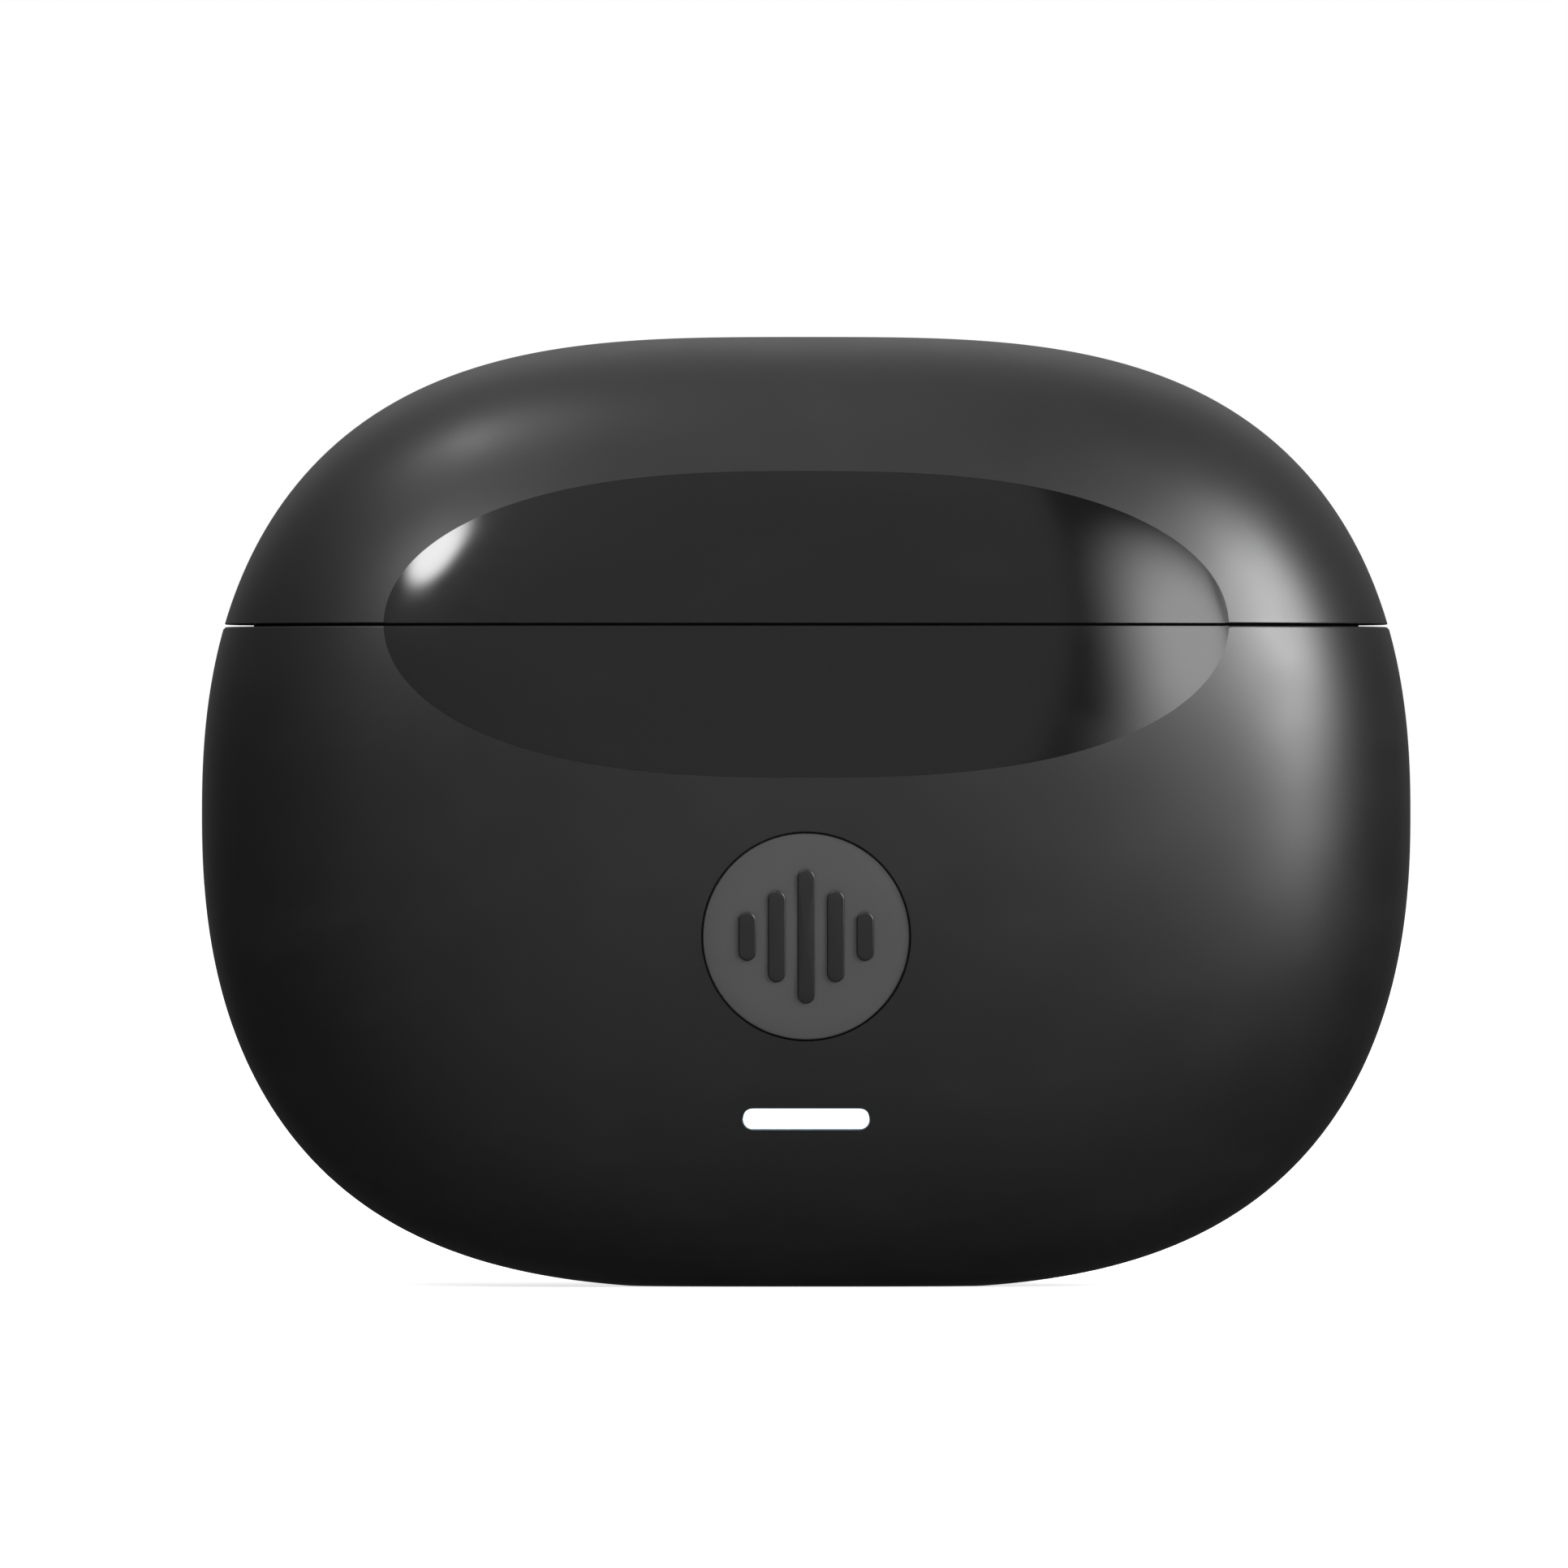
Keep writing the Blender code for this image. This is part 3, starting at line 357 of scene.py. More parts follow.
def dressNormals(obj):
    # exact normals on the pebble's faces and on the scoop's floor, and plain ones on the cut walls
    limits = {"offForm": 0.004, "along": 0.97, "scoopShare": 1.35, "sunk": 0.0005 * mm, "offFloor": 0.06 * mm,
              "floorAlong": 0.3}
    mesh = obj.data
    smooth(obj, 30)
    count = len(mesh.polygons)
    centres = np.empty(count * 3)
    mesh.polygons.foreach_get("center", centres)
    centres = centres.reshape(-1, 3)
    flat = np.empty(count * 3)
    mesh.polygons.foreach_get("normal", flat)
    flat = flat.reshape(-1, 3)
    loopVert = np.empty(len(mesh.loops), int)
    mesh.loops.foreach_get("vertex_index", loopVert)
    points = np.empty(len(mesh.vertices) * 3)
    mesh.vertices.foreach_get("co", points)
    points = points.reshape(-1, 3)
    totals = np.empty(count, int)
    mesh.polygons.foreach_get("loop_total", totals)
    loopFace = np.repeat(np.arange(count), totals)
    x, y, z = centres.T
    away = (
        np.abs(x / half.x) ** form["sidePower"]
        + np.abs(y / half.y) ** form["bellyPower"]
        + np.abs((z - middle) / half.z) ** form["crownPower"]
    )
    outer = np.abs(away - 1) < limits["offForm"]
    outer &= (faceNormal(centres) * flat).sum(axis=1) > limits["along"]
    scoop = (~outer) & (y < 0) & (scoopShare(x, z) < limits["scoopShare"])
    scoop &= y + halfDepth(x, z) > limits["sunk"]
    scoop &= np.abs(y - scoopFloor()(x, z)) < limits["offFloor"]
    scoop &= (floorNormal(centres) * flat).sum(axis=1) > limits["floorAlong"]
    normals = np.zeros((len(loopVert), 3))
    corner = points[loopVert]
    for mask, rule in ((outer, faceNormal), (scoop, floorNormal)):
        chosen = mask[loopFace]
        normals[chosen] = rule(corner[chosen] * 0.999 + centres[loopFace[chosen]] * 0.001)
    mesh.normals_split_custom_set([tuple(n) for n in normals])
    return scoop


# Shaders shared by several materials


def newGroup(name, inputs, outputs):
    group = bpy.data.node_groups.new(name, "ShaderNodeTree")
    for label, kind, value in inputs:
        socket = group.interface.new_socket(label, in_out="INPUT", socket_type="NodeSocket" + kind)
        socket.default_value = value
    for label, kind in outputs:
        group.interface.new_socket(label, in_out="OUTPUT", socket_type="NodeSocket" + kind)
    return group, group.nodes.new("NodeGroupInput"), group.nodes.new("NodeGroupOutput")


def noise(tree, scale, detailLevel, roughness=0.5, vector=None):
    node = tree.nodes.new("ShaderNodeTexNoise")
    node.inputs["Detail"].default_value = detailLevel
    node.inputs["Roughness"].default_value = roughness
    if isinstance(scale, (int, float)):
        node.inputs["Scale"].default_value = scale
    else:
        tree.links.new(scale, node.inputs["Scale"])
    if vector is None:
        place = tree.nodes.new("ShaderNodeTexCoord")
        vector = place.outputs["Object"]
    tree.links.new(vector, node.inputs["Vector"])
    return node.outputs["Fac"]


def ramp(tree, value, low, high, toLow=0.0, toHigh=1.0):
    node = tree.nodes.new("ShaderNodeMapRange")
    node.interpolation_type = "SMOOTHSTEP"
    tree.links.new(value, node.inputs["Value"])
    for label, amount in (("From Min", low), ("From Max", high), ("To Min", toLow), ("To Max", toHigh)):
        if isinstance(amount, (int, float)):
            node.inputs[label].default_value = amount
        else:
            tree.links.new(amount, node.inputs[label])
    return node.outputs["Result"]


def combine(tree, operation, first, second):
    node = tree.nodes.new("ShaderNodeMath")
    node.operation = operation
    for socket, value in zip(node.inputs, (first, second)):
        if isinstance(value, (int, float)):
            socket.default_value = value
        else:
            tree.links.new(value, socket)
    return node.outputs["Value"]


def mouldSkinGroup():
    # the skin of a moulding: a slow wave, a fine tooth, and a roughness that drifts with both
    group, given, made = newGroup(
        "mouldSkin",
        [("Wave Scale", "Float", 220.0), ("Tooth Scale", "Float", 9000.0), ("Tooth Share", "Float", 0.3),
         ("Shine Low", "Float", 0.2), ("Shine High", "Float", 0.28)],
        [("Height", "Float"), ("Roughness", "Float")],
    )
    wave = noise(group, given.outputs["Wave Scale"], 2.0)
    tooth = noise(group, given.outputs["Tooth Scale"], 3.0, 0.6)
    toothPart = combine(group, "MULTIPLY", tooth, given.outputs["Tooth Share"])
    group.links.new(combine(group, "ADD", wave, toothPart), made.inputs["Height"])
    slow = combine(group, "MULTIPLY", wave, 0.7)
    fine = combine(group, "MULTIPLY", tooth, 0.3)
    mixed = combine(group, "ADD", slow, fine)
    shine = ramp(group, mixed, 0.3, 0.7, given.outputs["Shine Low"], given.outputs["Shine High"])
    group.links.new(shine, made.inputs["Roughness"])
    return group


def handlingGroup():
    # faint wiping marks and a little dust, as masks
    group, given, made = newGroup(
        "handlingMarks",
        [("Smudge Scale", "Float", 90.0), ("Dust Scale", "Float", 2600.0), ("Amount", "Float", 0.5)],
        [("Smudge", "Float"), ("Dust", "Float")],
    )
    place = group.nodes.new("ShaderNodeTexCoord")
    stretch = group.nodes.new("ShaderNodeMapping")
    stretch.inputs["Rotation"].default_value = (0.3, 0.2, 0.6)
    stretch.inputs["Scale"].default_value = (1.0, 0.8, 2.6)
    group.links.new(place.outputs["Object"], stretch.inputs["Vector"])
    wiped = noise(group, given.outputs["Smudge Scale"], 4.0, 0.62, stretch.outputs["Vector"])
    smudge = ramp(group, wiped, 0.5, 0.75)
    group.links.new(combine(group, "MULTIPLY", smudge, given.outputs["Amount"]), made.inputs["Smudge"])
    specks = group.nodes.new("ShaderNodeTexVoronoi")
    group.links.new(place.outputs["Object"], specks.inputs["Vector"])
    group.links.new(given.outputs["Dust Scale"], specks.inputs["Scale"])
    dust = ramp(group, specks.outputs["Distance"], 0.02, 0.1, 1.0, 0.0)
    group.links.new(combine(group, "MULTIPLY", dust, given.outputs["Amount"]), made.inputs["Dust"])
    return group


def metalGrainGroup():
    # fine drawn lines along one direction, with a drifting shine
    group, given, made = newGroup(
        "metalGrain",
        [("Line Scale", "Float", 3000.0), ("Shine Low", "Float", 0.2), ("Shine High", "Float", 0.35)],
        [("Height", "Float"), ("Roughness", "Float")],
    )
    place = group.nodes.new("ShaderNodeTexCoord")
    stretch = group.nodes.new("ShaderNodeMapping")
    stretch.inputs["Scale"].default_value = (0.04, 1.0, 1.0)
    group.links.new(place.outputs["Object"], stretch.inputs["Vector"])
    lines = noise(group, given.outputs["Line Scale"], 3.0, 0.6, stretch.outputs["Vector"])
    group.links.new(lines, made.inputs["Height"])
    shine = ramp(group, lines, 0.3, 0.7, given.outputs["Shine Low"], given.outputs["Shine High"])
    group.links.new(shine, made.inputs["Roughness"])
    return group


mouldSkin = mouldSkinGroup()
handlingMarks = handlingGroup()
metalGrain = metalGrainGroup()


def useGroup(tree, group, values):
    node = tree.nodes.new("ShaderNodeGroup")
    node.node_tree = group
    for label, value in values.items():
        node.inputs[label].default_value = value
    return node


def newMaterial(name, settings):
    material = bpy.data.materials.new(name)
    material.use_nodes = True
    tree = material.node_tree
    shader = tree.nodes["Principled BSDF"]
    for label, value in settings.items():
        shader.inputs[label].default_value = value
    return material, tree, shader


def mixColour(tree, mask, first, second, blend="MIX"):
    node = tree.nodes.new("ShaderNodeMix")
    node.data_type = "RGBA"
    node.blend_type = blend
    tree.links.new(mask, node.inputs["Factor"])
    for socket, value in ((node.inputs["A"], first), (node.inputs["B"], second)):
        if isinstance(value, tuple):
            socket.default_value = (*value, 1.0)
        else:
            tree.links.new(value, socket)
    return node.outputs["Result"]


def bump(tree, height, strength, distance, shader):
    node = tree.nodes.new("ShaderNodeBump")
    node.inputs["Strength"].default_value = strength
    node.inputs["Distance"].default_value = distance
    tree.links.new(height, node.inputs["Height"])
    tree.links.new(node.outputs["Normal"], shader.inputs["Normal"])


def mouldedPlastic(name, look):
    material, tree, shader = newMaterial(name, {"Specular IOR Level": look["specular"], "Metallic": 0.0})
    skin = useGroup(tree, mouldSkin, {
        "Wave Scale": look["waveScale"],
        "Tooth Scale": look["toothScale"],
        "Tooth Share": look["toothShare"],
        "Shine Low": look["shine"][0],
        "Shine High": look["shine"][1],
    })
    marks = useGroup(tree, handlingMarks, {"Amount": look["marks"]})
    colour = mixColour(tree, marks.outputs["Smudge"], look["colour"], look["smudged"])
    colour = mixColour(tree, marks.outputs["Dust"], colour, look["dust"])
    tree.links.new(colour, shader.inputs["Base Color"])
    rough = combine(tree, "ADD", skin.outputs["Roughness"],
                    combine(tree, "MULTIPLY", marks.outputs["Smudge"], look["smudgeRough"]))
    tree.links.new(rough, shader.inputs["Roughness"])
    bump(tree, skin.outputs["Height"], look["bump"], look["bumpDepth"], shader)
    return material


def drawnMetal(name, look):
    material, tree, shader = newMaterial(name, {"Metallic": 1.0})
    grain = useGroup(tree, metalGrain, {
        "Line Scale": look["lineScale"], "Shine Low": look["shine"][0], "Shine High": look["shine"][1]
    })
    marks = useGroup(tree, handlingMarks, {"Amount": look["marks"], "Smudge Scale": 400.0})
    colour = mixColour(tree, marks.outputs["Smudge"], look["colour"], look["worn"])
    tree.links.new(colour, shader.inputs["Base Color"])
    tree.links.new(grain.outputs["Roughness"], shader.inputs["Roughness"])
    bump(tree, grain.outputs["Height"], look["bump"], 0.01 * mm, shader)
    return material


shellLook = {
    "colour": (0.0035, 0.0035, 0.0036),
    "smudged": (0.006, 0.006, 0.0062),
    "dust": (0.014, 0.014, 0.014),
    "specular": 0.5,
    "shine": (0.36, 0.4),
    "smudgeRough": 0.03,
    "marks": 0.4,
    "waveScale": 260.0,
    "toothScale": 9000.0,
    "toothShare": 0.15,
    "bump": 0.05,
    "bumpDepth": 0.02 * mm,
}
scoopLook = dict(shellLook, shine=(0.1, 0.13), bump=0.02)
trayLook = dict(
    shellLook, colour=(0.014, 0.014, 0.015), shine=(0.42, 0.5), toothShare=1.0, toothScale=6000.0,
    bump=0.35, bumpDepth=0.02 * mm,
)
badgeLook = dict(
    shellLook, colour=(0.03, 0.03, 0.031), smudged=(0.036, 0.036, 0.037), shine=(0.3, 0.36),
    toothScale=5200.0, toothShare=0.8, bump=0.18,
)
chipLook = dict(trayLook, colour=(0.02, 0.02, 0.022), shine=(0.45, 0.6))
foamLook = dict(trayLook, colour=(0.05, 0.05, 0.05), smudged=(0.08, 0.08, 0.08), shine=(0.85, 0.95),
                toothScale=1500.0, bump=0.9, bumpDepth=0.1 * mm)
boardLook = dict(shellLook, colour=(0.01, 0.09, 0.045), smudged=(0.015, 0.12, 0.06), shine=(0.3, 0.42),
                 bump=0.1)
redLook = dict(shellLook, colour=(0.45, 0.015, 0.012), smudged=(0.5, 0.03, 0.02), shine=(0.35, 0.45))
blackLeadLook = dict(redLook, colour=(0.012, 0.012, 0.012), smudged=(0.02, 0.02, 0.02))
flexLook = dict(redLook, colour=(0.4, 0.17, 0.03), smudged=(0.45, 0.2, 0.05))
connectorLook = dict(redLook, colour=(0.75, 0.72, 0.66), smudged=(0.7, 0.67, 0.6))
steelLook = {"colour": (0.56, 0.57, 0.58), "worn": (0.42, 0.42, 0.43), "lineScale": 5000.0,
             "shine": (0.2, 0.32), "marks": 0.5, "bump": 0.12}
goldLook = dict(steelLook, colour=(0.86, 0.62, 0.26), worn=(0.7, 0.5, 0.2), shine=(0.16, 0.26))
magnetLook = dict(steelLook, colour=(0.5, 0.5, 0.52), worn=(0.4, 0.4, 0.41), shine=(0.14, 0.24))
cellLook = dict(steelLook, colour=(0.62, 0.63, 0.65), worn=(0.5, 0.5, 0.52), lineScale=900.0,
                shine=(0.3, 0.45))
hingeLook = dict(steelLook, colour=(0.045, 0.045, 0.048), worn=(0.06, 0.06, 0.062), shine=(0.28, 0.4))


def lightMaterial():
    # milky diffuser, white in the middle and cooler towards its edge
    look = {"colour": (0.95, 0.98, 1.0), "glow": 2.6, "middle": (1.0, 1.0, 1.0), "edge": (0.5, 0.62, 0.72),
            "fade": (0.3 * mm, 0.47 * mm), "straight": 2.62 * mm}
    settings = {"Roughness": 0.35, "Emission Strength": look["glow"]}
    material, tree, shader = newMaterial("statusLight", settings)
    shader.inputs["Base Color"].default_value = (*look["colour"], 1.0)
    low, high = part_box("led_light_guide")
    centre = (low.z + high.z) / 2
    place = tree.nodes.new("ShaderNodeTexCoord")
    split = tree.nodes.new("ShaderNodeSeparateXYZ")
    tree.links.new(place.outputs["Object"], split.inputs["Vector"])
    sideways = combine(tree, "ABSOLUTE", split.outputs["X"], 0.0)
    along = combine(tree, "MAXIMUM", combine(tree, "SUBTRACT", sideways, look["straight"]), 0.0)
    across = combine(tree, "SUBTRACT", split.outputs["Z"], centre)
    squares = [combine(tree, "MULTIPLY", value, value) for value in (along, across)]
    away = combine(tree, "SQRT", combine(tree, "ADD", *squares), 0.0)
    core = ramp(tree, away, *look["fade"], 1.0, 0.0)
    mottled = combine(tree, "MULTIPLY", core, ramp(tree, noise(tree, 700.0, 2.0), 0.2, 0.8, 0.94, 1.0))
    tree.links.new(mixColour(tree, mottled, look["edge"], look["middle"]), shader.inputs["Emission Color"])
    return material


materials = {
    "shell": mouldedPlastic("blackGloss", shellLook),
    "scoop": mouldedPlastic("blackPolished", scoopLook),
    "tray": mouldedPlastic("blackSatin", trayLook),
    "badge": mouldedPlastic("badgeGrey", badgeLook),
    "chip": mouldedPlastic("chipBlack", chipLook),
    "foam": mouldedPlastic("foamGrey", foamLook),
    "board": mouldedPlastic("solderMask", boardLook),
    "redLead": mouldedPlastic("redSleeve", redLook),
    "blackLead": mouldedPlastic("blackSleeve", blackLeadLook),
    "flex": mouldedPlastic("amberFilm", flexLook),
    "connector": mouldedPlastic("creamPlug", connectorLook),
    "steel": drawnMetal("brightSteel", steelLook),
    "gold": drawnMetal("goldPlate", goldLook),
    "magnet": drawnMetal("nickelPlate", magnetLook),
    "cell": drawnMetal("cellPouch", cellLook),
    "hinge": drawnMetal("blackenedSteel", hingeLook),
    "light": lightMaterial(),
}
print("materials made:", len(materials))


def dress(obj, key):
    obj.data.materials.clear()
    obj.data.materials.append(materials[key])
    return obj


# The two shells


def seamLip(gap, radius):
    # a ring that rounds both edges of the seam all the way round, through the scoop too
    points = []
    for x, y, _ in caseRing(seam, 0.0, 720):
        sunk = max(float(scoopDepth(x, seam)), 0.0) if y < 0 else 0.0
        points.append((x, y + sunk))
    points = np.array(points)
    along = np.roll(points, -1, axis=0) - np.roll(points, 1, axis=0)
    outward = np.stack([along[:, 1], -along[:, 0]], axis=1)
    outward /= np.linalg.norm(outward, axis=1, keepdims=True)
    arc = [(math.sin(a) * radius - radius, gap / 2 + radius - math.cos(a) * radius)
           for a in np.radians([0, 20, 40, 60, 78, 90])]
    proud = (0.25 * mm, arc[-1][1] + 0.02 * mm)
    section = arc + [proud, (proud[0], -proud[1])] + [(u, -w) for u, w in reversed(arc)]
    rings = []
    for point, way in zip(points, outward):
        rings.append([(point[0] + way[0] * u, point[1] + way[1] * u, seam + w) for u, w in section])
    return addObject("seamLip", ringSolid(rings))


def buildShells():
    look = {"seamGap": 0.13 * mm, "lipRadius": 0.1 * mm, "badgeRadius": 5.16 * mm, "badgeHeight": 17.4 * mm,
            "badgeRecess": 0.7 * mm, "lightSize": (6.3 * mm, 1.05 * mm), "lightHeight": 8.4 * mm,
            "socketSize": (9.28 * mm, 3.5 * mm), "reliefReach": 16.5 * mm,
            "reliefRadii": (1.35 * mm, 1.25 * mm)}
    around, rings = int(320 * detail), int(160 * detail)
    body = addObject("body", pebble(0.0, around, rings))
    inner = [(step / 34) ** 1.2 for step in range(2, 31)]
    shares = inner + [0.89, 0.91, 0.925, 0.94, 0.95, 0.96, 0.968, 0.976, 0.983, 0.989, 0.994, 0.997, 1.0]
    shares += [1.003, 1.006, 1.009, 1.012, 1.016, 1.022, 1.03, 1.045, 1.07, 1.11, 1.2, 1.3]
    scoopTool = addObject("scoopTool", panel([scoopRing(s) for s in shares], ahead, scoopFloor()))
    behind = [scoopRing(s, form["wall"], 120) for s in (0.05, 0.2, 0.4, 0.6, 0.8, 0.92, 1.0)]
    backing = addObject("backing", panel(behind, ahead, scoopFloor(form["wall"])))
    hollow = addObject("hollow", pebble(form["wall"], int(160 * detail), int(80 * detail)))
    carve(hollow, [backing])
    lip = seamLip(look["seamGap"], look["lipRadius"])
    carve(body, [scoopTool, lip])
    lid = addObject("lidOuter", block((0, 0, 0), (1, 1, 1)))
    lid.data = body.data.copy()
    body.name = "baseOuter"
    above = addObject("above", block((-far, -far, seam - look["seamGap"] / 2), (far, far, far)))
    below = addObject("below", block((-far, -far, -far), (far, far, seam + look["seamGap"] / 2)))
    foot = addObject("foot", block((-far, -far, -far), (far, far, shellLow.z)))
    carve(body, [above, foot, hollow], keep=[hollow])
    carve(lid, [below, hollow])
    badgeRings = nested(circle(look["badgeRadius"], 160, (0, look["badgeHeight"])), [0.2, 0.5, 0.8, 1.0])
    recess = lambda x, z: -halfDepth(x, z, look["badgeRecess"])
    badge = addObject("badgeTool", panel(badgeRings, ahead, recess))
    slotLine = capsule(*look["lightSize"], (0, look["lightHeight"]))
    light = addObject("lightTool", prism(slotLine, -front, -2 * mm, "Y"))
    socket = addObject("socketTool", prism(capsule(*look["socketSize"]), -2 * mm, 7.5 * mm))
    chamfer = addObject("socketChamfer", stack([
        [(u, v, w) for u, v in capsule(look["socketSize"][0] + grow * 2, look["socketSize"][1] + grow * 2)]
        for grow, w in ((0.5 * mm, -0.2 * mm), (0.3 * mm, 0.0), (0.12 * mm, 0.12 * mm), (0.0, 0.32 * mm))
    ]))
    carve(body, [badge, light, socket, chamfer])
    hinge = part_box("hinge_pin")
    axis = (0, (hinge[0].y + hinge[1].y) / 2, seam)
    for shell, radius in ((body, look["reliefRadii"][0]), (lid, look["reliefRadii"][1])):
        reach = look["reliefReach"]
        tool = turned([(0, -reach), (radius, -reach), (radius, reach), (0, reach)], axis, "X", 96)
        carve(shell, [addObject("reliefTool", tool)])
    for shell, node, ride in ((body, "base_shell", "base"), (lid, "lid_shell", "lid")):
        shell.name = node.replace("_shell", "Casing")
        polished = dressNormals(shell)
        dress(shell, "shell")
        shell.data.materials.append(materials["scoop"])
        shell.data.polygons.foreach_set("material_index", polished.astype(np.int32))
        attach(shell, ride)
        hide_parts(node)
        print(shell.name, len(shell.data.polygons), "faces")


buildShells()


# Badge, light and socket


def merge(name, objs):
    # several closed shells in one object
    bm = bmesh.new()
    for obj in objs:
        bm.from_mesh(obj.data)
        bpy.data.objects.remove(obj)
    return addObject(name, bm)


def finishPiece(obj, key, node, body, angle=35):
    smooth(obj, angle)
    dress(obj, key)
    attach(obj, body)
    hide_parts(*([node] if isinstance(node, str) else node))
    return obj


def easedPanel(outline, face, thickness, edge):
    # a curved plate that follows the case's face, with its front edge rounded over
    points = np.array(outline)
    centre = points.mean(axis=0)
    reach = np.linalg.norm(points - centre, axis=1).min()
    rings, sinks = [], []
    for share in (0.15, 0.4, 0.65, 0.85):
        rings.append(centre + (points - centre) * share)
        sinks.append(0.0)
    outward = np.roll(points, -1, axis=0) - np.roll(points, 1, axis=0)
    outward = np.stack([outward[:, 1], -outward[:, 0]], axis=1)
    outward /= np.linalg.norm(outward, axis=1, keepdims=True)
    if ((points - centre) * outward).sum() < 0:
        outward = -outward
    for turn in (0, 22, 45, 68, 90):
        rings.append(points - outward * edge * (1 - math.sin(math.radians(turn))))
        sinks.append(edge * (1 - math.cos(math.radians(turn))))
    rings.append(points)
    sinks.append(thickness)
    rings.append(centre + (points - centre) * 0.5)
    sinks.append(thickness)
    sheets = []
    for ring, sink in zip(rings, sinks):
        x, z = ring.T
        sheets.append(list(zip(x, face(x, z) + sink, z)))
    return stack(sheets)


def buildBadge():
    look = {"radius": 5.085 * mm, "height": 17.4 * mm, "sink": 0.16 * mm, "edge": 0.07 * mm,
            "barWidth": 0.85 * mm, "barPitch": 1.45 * mm, "barLengths": (2.4, 4.5, 6.6, 4.5, 2.4)}
    disc = addObject("badgeDisc", easedPanel(
        circle(look["radius"], 160, (0, look["height"])), faceAt(look["sink"]), 0.3 * mm, look["edge"]
    ))
    finishPiece(disc, "badge", "badge_plate", "base", 50)
    bars = []
    for index, length in enumerate(look["barLengths"]):
        place = ((index - 2) * look["barPitch"], look["height"])
        outline = capsule(look["barWidth"], length * mm, place, 20)
        bars.append(addObject("bar", easedPanel(outline, faceAt(0.0), look["sink"] + 0.1 * mm, look["edge"])))
    finishPiece(merge("badgeBars", bars), "shell", "badge_plate", "base", 50)


def buildLight():
    look = {"size": (6.2 * mm, 0.95 * mm), "height": 8.4 * mm, "length": 7.0 * mm, "edge": 0.06 * mm}
    outline = capsule(*look["size"], (0, look["height"]), 24)
    guide = addObject("lightGuide", easedPanel(outline, faceAt(0.02 * mm), look["length"], look["edge"]))
    finishPiece(guide, "light", "led_light_guide", "base", 50)


def buildSocket():
    look = {"size": (8.94, 3.16), "wall": 0.3, "low": 0.5, "high": 7.5, "edge": 0.1,
            "tongue": (6.7, 0.7, 1.8, 7.0), "pads": 12, "padSize": (0.28, 0.03, 2.6), "padPitch": 0.5}
    width, height = look["size"]
    low, high, wall, edge = look["low"], look["high"], look["wall"], look["edge"]

    def ring(shrink, level):
        return [(u, v, level * mm) for u, v in
                capsule((width - 2 * shrink) * mm, (height - 2 * shrink) * mm, (0, 0), 24)]

    outer = [ring(edge, low), ring(edge * 0.3, low + edge * 0.3), ring(0, low + edge), ring(0, high)]
    inner = [ring(wall - edge, low - 0.2), ring(wall - edge, low), ring(wall - edge * 0.3, low + edge * 0.3),
             ring(wall, low + edge), ring(wall, high - wall)]
    shell = carve(addObject("socketShell", stack(outer)), [addObject("socketInside", stack(inner))])
    finishPiece(shell, "steel", "usb_c_shell", "base")
    wide, thick, start, end = look["tongue"]
    tongue = addObject("socketTongue", stack([
        [(u, v, w * mm) for u, v in capsule((wide - 2 * s) * mm, (thick - 2 * s) * mm, (0, 0), 12)]
        for s, w in ((0.16, start), (0.05, start + 0.08), (0.0, start + 0.22), (0.0, end))
    ]))
    finishPiece(tongue, "chip", "usb_c_tongue", "base")
    pads = []
    padWide, padThick, padLong = (value / 2 * mm for value in look["padSize"])
    for side in (-1, 1):
        for index in range(look["pads"]):
            x = (index - (look["pads"] - 1) / 2) * look["padPitch"] * mm
            y, z = side * thick / 2 * mm, (start + 0.5) * mm + padLong
            low = (x - padWide, y - padThick, z - padLong)
            high = (x + padWide, y + padThick, z + padLong)
            pads.append(addObject("pad", block(low, high)))
    finishPiece(merge("socketPads", pads), "gold", "usb_c_tongue", "base")


buildBadge()
buildLight()
buildSocket()
print("badge, light and socket built")


# Tray and liner

inside = {
    "cupX": 13.0 * mm,
    "cupRadii": (8.6, 7.2, 9.0),
    "cupRise": 0.5 * mm,
    "cupWall": 1.0,
    "stemX": 17.0 * mm,
    "stemRadius": 3.7 * mm,
    "stemFloor": 10.0 * mm,
    "trayLip": 0.8 * mm,
    "deck": 1.7 * mm,
    "skirt": 5.0 * mm,
    "trayWall": 0.9 * mm,
    "linerGap": 0.3 * mm,
    "liner": 1.0 * mm,
    "domeRadii": (7.9, 6.5, 9.4),
    "domeWall": 0.9,
    "reliefReach": 16.65 * mm,
    "edge": 0.35 * mm,
    "contactPitch": 3.2 * mm,
}
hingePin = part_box("hinge_pin")
hingeY = (hingePin[0].y + hingePin[1].y) / 2
lining = form["wall"] + form["fitGap"]


def caseSlab(low, high, inset, edgeLow=0.0, edgeHigh=0.0, steps=8):
    # a slice of the case's inside, with either edge rounded over
    levels = []
    for turn in (0, 30, 60, 90) if edgeLow else (90,):
        lift, draw = 1 - math.cos(math.radians(turn)), 1 - math.sin(math.radians(turn))
        levels.append((low + edgeLow * lift, inset + edgeLow * draw))
    for step in range(1, steps):
        levels.append((low + edgeLow + (high - edgeHigh - low - edgeLow) * step / steps, inset))
    for turn in (90, 60, 30, 0) if edgeHigh else (90,):
        lift, draw = 1 - math.cos(math.radians(turn)), 1 - math.sin(math.radians(turn))
        levels.append((high - edgeHigh * lift, inset + edgeHigh * draw))
    return stack([caseRing(z, draw) for z, draw in levels])


def scoopRoom(name):
    rings = [scoopRing(share, lining, 160) for share in (0.05, 0.2, 0.4, 0.6, 0.8, 0.92, 1.0)]
    return addObject(name, panel(rings, ahead, scoopFloor(lining)))


